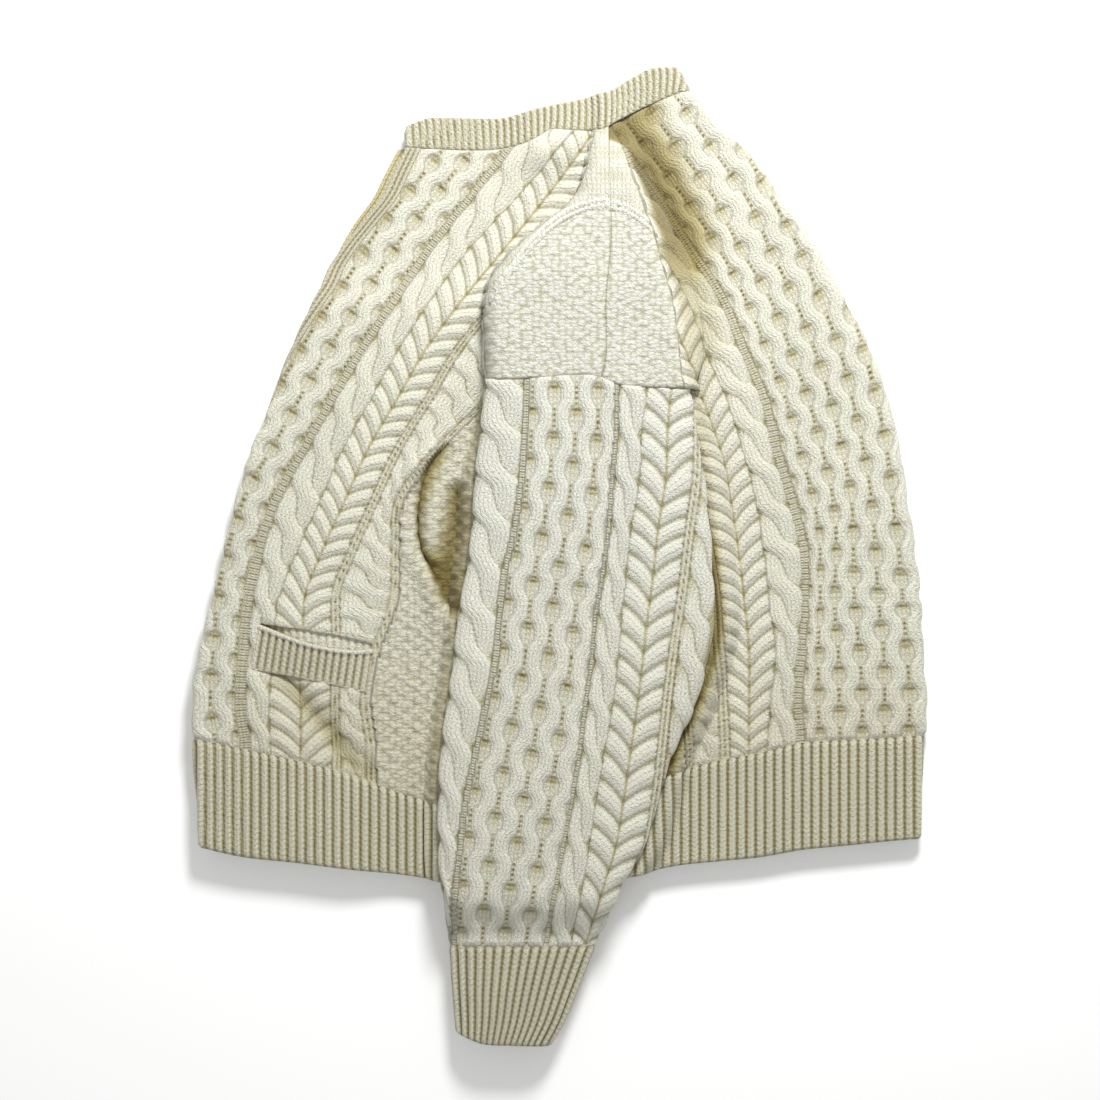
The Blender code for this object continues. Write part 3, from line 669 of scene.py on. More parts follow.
def front_pattern(x, y, lower):
    """Honeycomb by the band, then a rope, wheat, a small rope and basket towards the side."""
    on = Stripes(FRONT_STRIPES, "rope", BODY_ENDS, x, y)
    on.cover(x < np.inf, basket(x, -y))
    on.lay("line_2", "basket", fine_lines)
    on.lay("rope_2", "line_2", rope, SMALL_ROPE, 3.4, t=on.down("rope_2", "line_2"))
    on.lay("line_1", "rope_2", fine_lines)
    on.lay("wheat", "line_1", wheat, FRONT_WHEAT, t=on.down("wheat", "line_1"))
    on.lay("rope", "wheat", rope, BODY_ROPE)
    on.lay("gap", "rope", ground)
    gap = on.edge["gap"]
    cells = (x - gap + GAP_HALF) * (1 / np.sqrt(1 + on.run_down("gap")[1] ** 2)) / CELL
    on.cover(x < gap - GAP_HALF * 0.8, honeycomb(cells, on.down("gap", "gap") + 4, CELL, FRONT_CELL))
    on.cover(np.logical_not(lower) & (x > read(CAP, "foot", y) + 2), cap_pattern(x, y))
    return on.parts


def cap_pattern(x, y):
    """The shoulder: moss blocks, two ridges, and plain knit above them."""
    height, across, along, purl, crease_shade = basket(x, -y)
    height = 2.3 + 0.5 * (height - 2.3)
    from_seam = x - SIDE["x"][1]
    ridge_y = np.where(from_seam < 0, 277 - 0.009 * from_seam**2, 275 - 0.017 * from_seam**2)
    over = y - ridge_y
    on_ridges, above = np.abs(over) < RIDGE, over >= RIDGE
    ridges = np.abs(np.sin(np.pi * over / RIDGE))
    height = np.where(on_ridges, 0.6 + 2.8 * ridges**0.8, height)
    height = np.where(above, 1.7 + 0.3 * np.sin(y / 3.1) * np.sin(x / 9), height)
    # Painted shade between the two ridges, and a little over the plain knit above them
    crease_shade = np.where(on_ridges, 0.7 * np.clip(1 - ridges / 0.4, 0, 1), np.where(above, 0.08, crease_shade))
    return height, across, along, np.where(on_ridges | above, KNIT, purl), crease_shade


def back_pattern(x, y, lower):
    """Honeycomb by the centre back fold, then a rope, wheat and a small rope towards the side."""
    on = Stripes(BACK_STRIPES, "gap", BODY_ENDS, x, y)
    cells, column = np.zeros(np.shape(x)), np.full(np.shape(x), CELL)
    for k in range(5):
        near, far = on.edge[f"cell_{k}"], on.edge[f"cell_{k + 1}"]
        cells = cells + np.clip((x - near) / (far - near), 0 if k else -2, 1 if k < 4 else 6)
        column = np.where((x >= near) & (x < far), far - near, column)
    on.cover(x < np.inf, honeycomb(cells, on.down("cell_2", "cell_2") + 2, column, BACK_CELL))
    on.lay("gap", "cell_0", ground)
    on.lay("rope", "gap", rope, BODY_ROPE)
    on.lay("wheat", "rope", wheat, BACK_WHEAT, t=on.down("wheat", "rope") + 3)
    on.lay("line_1", "wheat", fine_lines)
    on.lay("rope_2", "line_1", rope, SMALL_ROPE, SMALL_HIGH, t=on.down("rope_2", "line_1"))
    on.lay("line_2", "rope_2", fine_lines)
    on.cover(x < on.edge["line_2"], basket(x, -y))
    on.cover(np.logical_not(lower) & (x < top_of_slope(y)), cap_pattern(x, y))
    return on.parts


def sleeve_pattern(x, y):
    """Rope, honeycomb, rope, wheat and a small rope, from the front edge to the back edge."""
    on = Stripes(SLEEVE_STRIPES, "wheat", SLEEVE_ENDS, x, y)
    near_front = Stripes(SLEEVE_STRIPES, "gap_1", SLEEVE_ENDS, x, y)
    gap_1, gap_2, t, near_front.parts = on.edge["gap_1"], on.edge["gap_2"], near_front.t, on.parts
    rope_1 = near_front.edge["rope_1"] = read(SLEEVE, "left", y) - 1.5
    near_front.edge["end_1"] = gap_1 - GAP_HALF * 0.6
    on.edge["rope_3"] = gap_2 + GAP_HALF
    squeeze = np.clip((gap_2 - gap_1) / 71, 0.6, 1.1)
    cells = (x - gap_1) / (gap_2 - gap_1) / 0.247 - 0.275
    on.lay("rope_2", None, rope, SLEEVE_SMALL_ROPE, SMALL_HIGH, width=22 * squeeze)
    on.lay("line_1", "rope_2", fine_lines, width=LINE)
    on.lay("wheat", "line_1", wheat, SLEEVE_WHEAT)
    on.lay("rope_3", "wheat", rope, SLEEVE_ROPE, t=on.t + 6)
    on.cover(x < on.edge["rope_3"], ground(x, on.t))
    on.cover(x < gap_2 + 0.5, honeycomb(cells, t + 6, CELL * squeeze, SLEEVE_CELL))
    on.cover(x < gap_1 + GAP_HALF * 0.6, ground(x, t))
    near_front.lay("rope_1", "end_1", rope, SLEEVE_ROPE, t=t + 10)
    on.cover(x < rope_1, wheat(x - rope_1 + TURNED_UNDER, t, TURNED_UNDER, SLEEVE_WHEAT))
    return on.parts


# --- Hollows that the cloth falls into, and the painted shade in them: how much darker and more olive the wool is painted there ---
UNDERARM_FOLD = {
    "y": (90, 69, 42, 25, 3, -17, -46),
    "x": (-91, -107, -113.5, -114.5, -111, -101, -86),
    "wide": (5, 10, 8, 6, 7, 15, 14),
}
UNDERARM_PIT = {
    "y": (60, 40, 21, 3, -17, -40),
    "x": (-82, -83, -84, -88, -90, -88),
    "wide": (6, 8, 10, 11, 11, 8),
}
POCKET_DENT = ((-237, -75), (-152, -178))


def fading(y, low, high, reach=14):
    return ease((y - low) / reach) * ease((high - y) / reach)


def front_hollows(x, y):
    """The fold of loose cloth under the arm, beside the sleeve: (how far down, how much painted shade)."""
    beside = x - read(UNDERARM_FOLD, "x", y)
    wide = np.where(beside < 0, 1.8, read(UNDERARM_FOLD, "wide", y))
    near_fold = bell(beside, wide) * fading(y, -54, 92, 12)
    from_pit = x - read(UNDERARM_PIT, "x", y)
    pit = bell(from_pit, read(UNDERARM_PIT, "wide", y)) * fading(y, -46, 62, 12)
    flap = bell(beside + 8, 7) * fading(y, -70, 96, 30)
    along_sleeve = bell(x - read(SLEEVE, "left", y) + 3, 6) * ease((125 - y) / 30)
    (x0, y0), (x1, y1) = POCKET_DENT
    length = math.hypot(x1 - x0, y1 - y0)
    from_dent = ((x - x0) * (y1 - y0) - (y - y0) * (x1 - x0)) / length
    down_dent = ((x - x0) * (x1 - x0) + (y - y0) * (y1 - y0)) / length
    dent = bell(from_dent, 9) * fading(down_dent, -8, length + 8, 25)
    down = 8.0 * np.maximum(near_fold, pit) - 3.0 * flap + 4.0 * dent
    # Painted shade in the fold, the pit, along the sleeve's edge and in the dent below the pocket, and a
    # little more towards the bottom
    dim = 0.3 * dent + 0.1 * ease((-40 - y) / 120)
    return down, np.clip(1.1 * near_fold + 0.9 * pit + 0.3 * along_sleeve + dim, 0, 1.15)


def back_hollows(x, y):
    """The valley behind the shoulder and the one beside the sleeve's back edge: (how far down, how much
    painted shade).
    """
    foot = read(CAP, "back", y)
    top = top_of_slope(y, 0.8 + 0.9 * ease((y - 320) / 14))
    across = ease((x - top) / 7) * (1 - ease((x - foot) / (28 + 16 * ease((y - 220) / 40))))
    behind_shoulder = across * fading(y, 120, 400, 50)
    # Painted shade in the valley behind the shoulder, and a little more towards the bottom
    dim = across * ease((y - 120) / 50) * (0.25 + 0.6 * ease((y - 200) / 55)) + 0.1 * ease((-40 - y) / 120)
    # Painted shadow along the sleeve's back edge
    beside = x - read(SLEEVE, "right", y) - 4
    beside_sleeve = 0.22 * bell(beside, 7) * ease((135 - y) / 20)
    beside_sleeve = beside_sleeve + 0.7 * bell(beside, 4) * ease((30 - y) / 40)
    return 3.0 * behind_shoulder, np.clip(dim + beside_sleeve, 0, 1)


def painted_light_on_shoulder(x, y):
    """Painted light: how much whiter the wool is painted on the shoulder, the part that is turned up to the
    light.
    """
    on_shoulder = ease((x - read(CAP, "foot", y) + 8) / 16) * ease((top_of_slope(y) - x) / 6)
    return on_shoulder * ease((y - 100) / 30) * ease((341 - y) / 14)


# --- Meshes ---
GROUND = 0.4  # the ground of the knit over the middle surface
BACKING = 1.7  # the inner face under the middle surface
EDGE_HEIGHT = 1.3  # the relief runs out to this height at a seam or an edge
FULL_HEIGHT = 3.6  # relief this high counts as fully raised; lower relief is painted with recess shade
STEP = 6  # the inner face has every sixth point of the outer one


def spread(knots, counts):
    """Sample places from knot to knot, with this many steps in each stretch."""
    places = [np.linspace(a, b, n, endpoint=False) for a, b, n in zip(knots, knots[1:], counts)]
    return np.concatenate([*places, [knots[-1]]])


def run_along(points, axis):
    """Distance walked from the first point of each line of the grid."""
    steps = np.linalg.norm(np.diff(points, axis=axis), axis=-1)
    first = np.zeros_like(np.take(steps, [0], axis=axis))
    return np.concatenate([first, np.cumsum(steps, axis=axis)], axis=axis)


def unit(vectors):
    return vectors / np.maximum(np.linalg.norm(vectors, axis=-1, keepdims=True), 1e-9)


def around(wide):
    """The four neighbours of each place of a grid that is padded by one."""
    return wide[:-2, 1:-1], wide[2:, 1:-1], wide[1:-1, :-2], wide[1:-1, 2:]


def outward(points, ring, flip):
    """Normals of a grid of points, evened out so that they turn gently."""
    wide = np.concatenate([points[:, -1:], points, points[:, :1]], axis=1)
    by_column = (wide[:, 2:] - wide[:, :-2]) if ring else np.gradient(points, axis=1)
    normal = unit(np.cross(np.gradient(points, axis=0), by_column)) * (-1 if flip else 1)
    for _ in range(3):
        padded = np.pad(normal, ((1, 1), (1, 1), (0, 0)), mode="edge")
        if ring:
            padded[:, 0], padded[:, -1] = padded[:, -2], padded[:, 1]
        above, below, left, right = around(padded)
        normal = unit(left + right + above + below + 2 * normal)
    return normal


class Block:
    """One grid of the cloth: its outer face with the stitches, its inner face, and what the shader reads."""

    def __init__(self, middle, found, fade, edge=1.0, ring=False, flip=False, olive=0.0, sunk=None, painted_light=0.0):
        normal = outward(middle, ring, flip)
        self.height = (found[0] * edge + EDGE_HEIGHT * (1 - edge)) * fade
        self.raised = np.clip(self.height / FULL_HEIGHT, 0, 1)
        self.outer = middle + normal * (GROUND + self.height)[..., None]
        backing = BACKING
        if sunk is not None:  # the inner face clears the deepest place within the reach of its own step
            deepest = sunk
            for _ in range(STEP + 2):
                deepest = np.maximum.reduce([deepest, *around(np.pad(deepest, 1, mode="edge"))])
            backing = BACKING + (deepest - sunk)
        behind = normal * np.broadcast_to(backing, self.height.shape)[..., None]
        self.inner = (middle - behind)[::STEP, ::STEP]
        parts = np.broadcast_arrays(*found[1:], self.height)
        self.stitch, self.crease_shade = np.stack(parts[:3], axis=-1), parts[3] * edge
        self.ring = ring
        # How much painted shade lies in the hollows, and how much painted light
        self.olive, self.painted_light = (np.broadcast_to(part, self.height.shape) for part in (olive, painted_light))


def corners_of(ids, ring):
    """The four corners of each cell of a grid, and the grid places of those corners."""
    rows, columns = ids.shape
    wide = columns if ring else columns - 1
    i, j = np.meshgrid(np.arange(rows - 1), np.arange(wide), indexing="ij")
    after = (j + 1) % columns
    quads = np.stack([ids[i, j], ids[i + 1, j], ids[i + 1, after], ids[i, after]], axis=-1)
    u, v = np.stack([j, j, j + 1, j + 1], -1) / wide, np.stack([i, i + 1, i + 1, i], -1) / (rows - 1)
    return quads, np.stack([u, v], -1)


def rims(cells, ids, low_ids, ring, borders):
    """Adds the sides of every kept cell of the inner grid. A side shared by two cells drops out again."""
    columns, low_columns = ids.shape[1], low_ids.shape[1]
    for a, b in cells:
        i, j = a * STEP, b * STEP
        c, end = ((b + 1) % low_columns, (j + STEP) % columns) if ring else (b + 1, j + STEP)
        across = [(j + k) % columns for k in range(STEP)] + [end]
        down = range(i, i + STEP + 1)
        sides = (
            (low_ids[a, c], low_ids[a, b], [ids[i, k] for k in across[::-1]]),
            (low_ids[a + 1, b], low_ids[a + 1, c], [ids[i + STEP, k] for k in across]),
            (low_ids[a, b], low_ids[a + 1, b], [ids[k, j] for k in down]),
            (low_ids[a + 1, c], low_ids[a, c], [ids[k, end] for k in down][::-1]),
        )
        for first, last, line in sides:
            if borders.pop((last, first), None) is None:
                borders[(first, last)] = line


def shell(name, blocks, joins=None, hole=None, flip=False):
    """A closed wall: the fine outer face, the coarser inner face, and rims of triangles between them.

    joins(j) says whether column j runs on from the first block into the second.
    hole(block, a, b) says whether cell a, b of the inner grid is left out.
    """
    ring = blocks[0].ring
    surfaces = [block.outer for block in blocks] + [block.inner for block in blocks]
    points = [surface.reshape(-1, 3) for surface in surfaces]
    grids = [surface.shape[:2] for surface in surfaces]
    starts = np.concatenate([[0], np.cumsum([len(p) for p in points])])
    ids = [np.arange(r * c).reshape(r, c) + start for (r, c), start in zip(grids, starts)]
    if joins:
        shared = np.array([joins(j) for j in range(grids[0][1])])
        ids[1][0, shared] = ids[0][-1, shared]
        ids[3][0, shared[::STEP]] = ids[2][-1, shared[::STEP]]

    faces, places, borders = [], [], {}
    heights = np.array([r for r, _ in grids[: len(blocks)]], float)
    tops = np.concatenate([[0], np.cumsum(heights)]) / heights.sum()
    for n in range(len(blocks)):
        outer, low = ids[n], ids[n + len(blocks)]
        low_quads, low_places = corners_of(low, ring)
        rows, wide = low_quads.shape[:2]
        kept = np.array([[not (hole and hole(n, a, b)) for b in range(wide)] for a in range(rows)])
        quads, quad_places = corners_of(outer, ring)
        fine = np.repeat(np.repeat(kept, STEP, axis=0), STEP, axis=1)
        band = tops[n + 1] - tops[n]
        back_to_front = [0, 3, 2, 1]
        for found, where, mask, floor, tall in (
            (quads, quad_places, fine, 0.24, 0.75),
            (low_quads[..., back_to_front], low_places[..., back_to_front, :], kept, 0.04, 0.19),
        ):
            faces.extend(found[mask].tolist())
            place = where[mask] * (0.98, 0.98 * band * tall) + (0.01, floor + tops[n] * tall)
            places.append(place.reshape(-1, 2))
        rims(np.argwhere(kept), outer, low, ring, borders)
    high_v, low_v, half = 0.03, 0.005, STEP // 2
    for n, ((first, last), line) in enumerate(borders.items()):
        near, far = n / len(borders), (n + 0.9) / len(borders)
        along = np.linspace(near, far, STEP + 1)
        for k in range(STEP):
            low, low_u = (first, near) if k < half else (last, far)
            faces.append([line[k + 1], line[k], low])
            places.append(np.array([(along[k + 1], high_v), (along[k], high_v), (low_u, low_v)]))
        faces.append([line[half], first, last])
        places.append(np.array([(along[half], high_v), (near, low_v), (far, low_v)]))

    places = np.concatenate(places)
    if flip:
        ends = np.cumsum([len(face) for face in faces])[:-1]
        places = np.concatenate([place[::-1] for place in np.split(places, ends)])
        faces = [face[::-1] for face in faces]
    return mesh_object(name, np.concatenate(points), faces, places, blocks)


def mesh_object(name, points, faces, places, blocks):
    used = np.zeros(len(points), bool)
    used[[corner for face in faces for corner in face]] = True
    numbers = np.cumsum(used) - 1
    mesh = bpy.data.meshes.new(name)
    faces = [[numbers[corner] for corner in face] for face in faces]
    mesh.from_pydata((points[used] * MM).tolist(), [], faces)
    outer = sum(block.height.size for block in blocks)
    # What the shader reads: the relief's height, the painted shade in creases and in hollows, the painted
    # light, and where each stitch lies
    for layer, usual in (("raised", 0.5), ("crease_shade", 0), ("olive", 0), ("painted_light", 0), ("stitch", 0)):
        kind, key, size = ("FLOAT_VECTOR", "vector", 3) if layer == "stitch" else ("FLOAT", "value", 1)
        values = np.full((len(points), size), float(usual))
        values[:outer] = np.concatenate([getattr(block, layer).reshape(-1, size) for block in blocks])
        mesh.attributes.new(layer, kind, "POINT").data.foreach_set(key, values[used].reshape(-1))
    mesh.uv_layers.new(name="OFBake").data.foreach_set("uv", places.reshape(-1))
    mesh.polygons.foreach_set("use_smooth", np.ones(len(faces), bool))
    mesh.update()
    obj = bpy.data.objects.new(name, mesh)
    bpy.context.scene.collection.objects.link(obj)
    return obj


# --- The pieces ---
NECK_EDGE, ARMHOLE_ROW, HEM_EDGE = 0.0002, 1.0, 1.9999  # rows where the panels start, join and stop
RIB_EDGE, LAST_ROW = 1.994, 3
SLEEVE_START, SLEEVE_END = -0.0025, 1.003  # tucked a little into the armhole and over the cuff
LINING_ROWS, LINING_COLUMNS = (1.64, 1.96), (8.8, 12.3)
BORDER_COLUMNS = (8.93, 12.07)
TINY = 1e-6
# Width of one rib with its groove, and height of the ribs of the hems and cuffs
FRONT_RIB, BACK_RIB, CUFF_RIB, BAND_RIB = 7.2, 7.4, 7.4, 4.0
COLLAR_RIB, BORDER_RIB, LINING_RIB = 5.6, 5.9, 5.8
HEM_HIGH, CUFF_HIGH = 3.4, 3.3
FLAT_CABLES = 0.34  # share of its height that the relief keeps on the right front, which lies beneath


def grid_points(point, rows, columns, lower=True):
    v, c = np.meshgrid(rows, columns, indexing="ij")
    return np.stack(np.broadcast_arrays(*point(v, c, lower)), axis=-1)


def edges_fade(points, top=0.0, bottom=0.0, left=0.0, right=0.0, level=""):
    """1 inside the grid, falling to 0 over these distances from its sides.

    It falls round, as at a turned edge, or runs out level at a side that is knitted on to the next piece.
    """
    down, along = run_along(points, 0), run_along(points, 1)
    fade = np.ones(points.shape[:2])
    for side, distance, reach in (
        ("top", down, top),
        ("bottom", down[-1:] - down, bottom),
        ("left", along, left),
        ("right", along[:, -1:] - along, right),
    ):
        if reach:
            fade = fade * (ease(distance / reach) if side in level else bulge(distance / reach))
    return fade


def under_left_sleeve(x, y):
    """1 in the open, less where the left sleeve lies on the body."""
    inside = ease((x - read(SLEEVE, "left", y) + 4) / 8) * ease((read(SLEEVE, "right", y) + 4 - x) / 8)
    return 1 - 0.75 * inside * ease((134 - y) / 18)


def slit_fade(points, columns, start, end, n):
    """The armhole's edges, beyond the columns that run on past it from block 0 into block 1."""
    beyond = np.clip(np.maximum(start - columns, columns - end), 0, 1)
    down = run_along(points, 0)
    distance = down if n else down[-1:] - down
    return 1 - beyond * (1 - bulge(distance / 3.0))


def front_x(points, columns):
    """X of each point once the turned-in edge is laid out flat."""
    run, x = run_along(points, 1), points[..., 0].copy()
    at = np.searchsorted(columns, TURN_END)
    x[:, :at] = x[:, at : at + 1] - run[:, at : at + 1] + run[:, :at]
    return x


def back_x(points, columns):
    """X of each point, with the two halves of the centre back fold laid out flat."""
    run, x = run_along(points, 1), points[..., 0].copy()
    start, middle, end = np.searchsorted(columns, (BACK_KNOTS[3], BACK_MIDDLE, BACK_KNOTS[4]))
    x[:, start:middle] = x[:, start : start + 1] + run[:, start:middle] - run[:, start : start + 1]
    x[:, middle:end] = x[:, end : end + 1] + run[:, end : end + 1] - run[:, middle:end]
    return x


FRONT_KNOTS = (0, TURN_START, TURN_END, FOOT, RIM, FRONT_LAST)
BACK_STRETCHES = BACK_KNOTS[:4] + (BACK_MIDDLE,) + BACK_KNOTS[4:]
FRONT_COLUMNS = spread(FRONT_KNOTS[:3] + POCKET_COLUMNS + FRONT_KNOTS[3:], (6, 12, 24, 60, 42, 18, 42))
BACK_COLUMNS = spread(BACK_STRETCHES, (42, 30, 102, 12, 12, 48, 18, 18))
UPPER = spread((NECK_EDGE, ARMHOLE_ROW), (114,))
LOWER = spread((ARMHOLE_ROW, *POCKET_ROWS, HEM_EDGE), (138, 24, 48))
RIB = spread((RIB_EDGE, LAST_ROW), (30,))


def beside_pocket(rows, columns):
    """Less relief close round the pocket's opening, where its border is sewn on."""
    above = np.maximum(POCKET_ROWS[0] - rows, rows - POCKET_ROWS[1])[:, None] * POCKET_SCALE[0]
    beside = np.maximum(POCKET_COLUMNS[0] - columns, columns - POCKET_COLUMNS[1])[None] * POCKET_SCALE[1]
    return 0.3 + 0.7 * ease((np.maximum(above, beside) - 1) / 4)


def make_front_left():
    columns, blocks = FRONT_COLUMNS, []
    open_part = ease((columns - TURN_END) / 1.5) * ease((FOOT + 2 - columns) / 3)
    flap = np.clip((TURN_END - 1.5 - columns) / 2, 0, 1)
    for n, rows in enumerate((UPPER, LOWER)):
        points = grid_points(front_left, rows, columns, bool(n))
        x, y = front_x(points, columns), points[..., 1]
        down, olive = front_hollows(x, y) if n else (0 * x, 0 * x)
        points[..., 2] -= down * open_part
        edge = edges_fade(points, left=2.5, right=3, top=3 * (n == 0), bottom=5 * (n == 1), level="bottom")
        edge = edge * slit_fade(points, columns, -1, FOOT, n)
        edge = edge * (beside_pocket(rows, columns) if n else 1)
        fade = (under_left_sleeve(x, y) if n else 1) * (1 - 0.5 * flap)
        found = front_pattern(x, y, bool(n))
        # Painted shade in the hollows beside the sleeve, and painted light on the shoulder
        looks = {"olive": olive * open_part, "painted_light": 0 if n else painted_light_on_shoulder(x, y)}
        blocks.append(Block(points, found, fade, edge, sunk=down * open_part, **looks))

    def hole(block, a, b):
        v, c = LOWER[a * STEP] + TINY, columns[b * STEP] + TINY
        in_rows = POCKET_ROWS[0] <= v < POCKET_ROWS[1]
        return block == 1 and in_rows and POCKET_COLUMNS[0] <= c < POCKET_COLUMNS[1]

    return shell("front_left_cables", blocks, lambda j: columns[j] <= FOOT + TINY, hole)


def make_front_right():
    columns, blocks = spread(FRONT_KNOTS, (6, 12, 60, 6, 12)), []
    for n, rows in enumerate((spread((0.011, ARMHOLE_ROW), (60,)), spread((ARMHOLE_ROW, HEM_EDGE), (96,)))):
        points = grid_points(front_right, rows, columns, bool(n))
        edge = edges_fade(points, left=2.5, right=3, top=3 * (n == 0), bottom=3 * (n == 1))
        edge = edge * slit_fade(points, columns, -1, FOOT, n)
        found = front_pattern(front_x(points, columns), points[..., 1], True)
        blocks.append(Block(points, found, FLAT_CABLES, edge, flip=True))
    return shell("front_right_cables", blocks, lambda j: columns[j] <= FOOT + TINY, flip=True)


def make_back():
    columns, blocks = BACK_COLUMNS, []
    first, last = BACK_KNOTS[2], BACK_KNOTS[5]
    upper_side = ease((13 - columns) / 2)
    beneath = ease((columns - BACK_MIDDLE) / 2.5)
    for n, rows in enumerate((UPPER, LOWER)):
        points = grid_points(back, rows, columns, bool(n))
        x, y = back_x(points, columns), points[..., 1]
        # The valley behind the shoulder, and the painted shade in it and beside the sleeve
        down, olive = back_hollows(x, y)
        points[..., 2] -= down * upper_side
        edge = edges_fade(points, left=3, right=3, top=3 * (n == 0), bottom=5 * (n == 1), level="bottom")
        edge = edge * slit_fade(points, columns, first, last, n)
        fade = np.where(columns < BACK_MIDDLE, under_left_sleeve(x, y) if n else 1, 1 - 0.66 * beneath)
        found = back_pattern(x, y, bool(n) | (columns > BACK_MIDDLE))
        # Painted light on the shoulder
        painted_light = 0 if n else painted_light_on_shoulder(x, y) * upper_side
        blocks.append(Block(points, found, fade, edge, olive=olive * upper_side, painted_light=painted_light))
    return shell("back_cables", blocks, lambda j: first - TINY <= columns[j] <= last + TINY)


def make_hem(name, point, columns, lay_out, pitch, fade, flip=False):
    points = grid_points(point, RIB, columns)
    across, down = lay_out(points, columns), run_along(points, 0)
    edge = edges_fade(points, top=5, bottom=4, left=2.5, right=2.5, level="top")
    found = ribs(across, down, pitch, HEM_HIGH)
    fade = fade(under_left_sleeve(points[..., 0], points[..., 1]))
    return shell(name, [Block(points, found, fade, edge, flip=flip)], flip=flip)


def make_hems():
    front, hidden = spread(FRONT_KNOTS, (6, 12, 162, 12, 30)), spread(FRONT_KNOTS, (6, 12, 60, 6, 12))
    behind = spread(BACK_STRETCHES, (30, 12, 150, 12, 12, 60, 12, 12))

    def front_fade(seen):
        return np.full_like(seen, FLAT_RIB)

    def back_fade(seen):
        beneath = 1 - (1 - FLAT_RIB) * ease((behind - BACK_MIDDLE) / 2.5)
        return np.where(behind < BACK_MIDDLE, seen, beneath)

    return (
        make_hem("hem_front_left_rib", front_left, front, front_x, FRONT_RIB, lambda seen: seen),
        make_hem("hem_front_right_rib", front_right, hidden, front_x, FRONT_RIB, front_fade, flip=True),
        make_hem("hem_back_rib", back, behind, back_x, BACK_RIB, back_fade),
    )


def softer(found, height, crease_shade):
    """The same stitches with another height and painted crease shade."""
    return (height, *found[1:-1], crease_shade)


def make_band(name, point, high, base):
    columns, blocks = spread((0, BAND_WIDTH), (12,)), []
    below = spread((ARMHOLE_ROW, HEM_EDGE, LAST_ROW), (138, 24))
    for n, rows in enumerate((spread((NECK_EDGE, ARMHOLE_ROW), (90,)), below)):
        points = grid_points(point, rows, columns, bool(n))
        edge = edges_fade(points, left=2.0, right=1.5, top=2.5 * (n == 0), bottom=2.5 * (n == 1))
        found = ribs(run_along(points, 1), run_along(points, 0), BAND_RIB, 2.1 * high)
        blocks.append(Block(points, softer(found, found[0] + base, high * found[-1]), 1, edge))
    return shell(name, blocks, lambda j: True)


def make_collar():
    columns = spread((0, COLLAR_TURN, 14, COLLAR_BACK, COLLAR_LAST), (150, 6, 6, 54))
    points = grid_points(collar, spread((0, 1), (12,)), columns)
    for _ in range(12):  # it runs evenly over the end of the side seam
        z = np.pad(points[..., 2], ((0, 0), (1, 1)), mode="edge")
        even = (z[:, :-2] + 2 * z[:, 1:-1] + z[:, 2:]) / 4
        points[..., 2] = np.where(columns < COLLAR_TURN, even, points[..., 2])
    found = ribs(run_along(points, 1), run_along(points, 0), COLLAR_RIB, 2.6)
    edge = edges_fade(points, top=2, bottom=2.5, left=2.5, right=2.5)
    fade = 1 - 0.6 * ease((columns - 13) / 3)
    return shell("collar_rib", [Block(points, found, fade, edge, flip=True)], flip=True)


# The lip of the pocket, as it sags open: its row at each column.
SAGGING_LIP = {"c": (9, 9.6, 10.2, 10.9, 11.6, 12), "v": (1.657, 1.671, 1.683, 1.687, 1.680, 1.667)}


def sagging_border(t, c, lower):
    start = POCKET_ROWS[1] + 0.004
    x, y, z = front_left(start + (read(SAGGING_LIP, "v", c, across="c") - start) * t, c, lower)
    return x, y, z + 0.5 + 2.6 * ease(t) * np.sin(math.pi * np.clip((c - 9) / 3, 0, 1))


def make_lining():
    rows, columns = spread(LINING_ROWS, (60,)), spread(LINING_COLUMNS, (72,))
    points = grid_points(pocket_lining, rows, columns)
    up_to_lip = 7.3 * ease((1.76 - rows) / 0.07)[:, None]
    points[..., 2] += up_to_lip * (0.72 + 0.28 * ease(np.linspace(-0.5, 4, len(columns))))
    found = ribs(points[..., 0], -points[..., 1], LINING_RIB, 1.0)
    found = softer(found, found[0] + 1.5, 0.3 * found[-1])
    # Painted shade on the lining's left part, down in the pocket
    block = Block(points, found, 1, edges_fade(points, 2, 2, 2, 2), olive=0.3 * ease(10.4 - columns))
    return shell("pocket_lining_left_knit", [block])


def make_border():
    rows = spread((0, 0.85, 1), (18, 6))
    points = grid_points(sagging_border, rows, spread(BORDER_COLUMNS, (96,)))
    found = ribs(run_along(points, 1), run_along(points, 0), BORDER_RIB, 2.4)
    lip = ease((rows - 0.86) / 0.06)[:, None]
    found = softer(found, found[0] * (1 - lip) + 3.0 * lip, found[-1] * (1 - lip))
    edge = edges_fade(points, top=5, bottom=1.5, left=3, right=3)
    return shell("pocket_border_left_rib", [Block(points, found, 1, edge, flip=True)], flip=True)


def tube_ring(over_cells, under_cells, edge_cells=8):
    """Ring places 0-2 of a flattened tube, closer together where its two edges turn."""
    edge = 0.05

    def half(cells):
        turn = edge * np.linspace(0, 1, edge_cells + 1) ** 1.6
        flat = np.linspace(edge, 1 - edge, cells - 2 * edge_cells + 1)
        return np.arccos(1 - 2 * np.concatenate([turn[:-1], flat, 1 - turn[:-1][::-1]])) / np.pi

    return np.concatenate([half(over_cells)[:-1], 1 + half(under_cells)[:-1]])


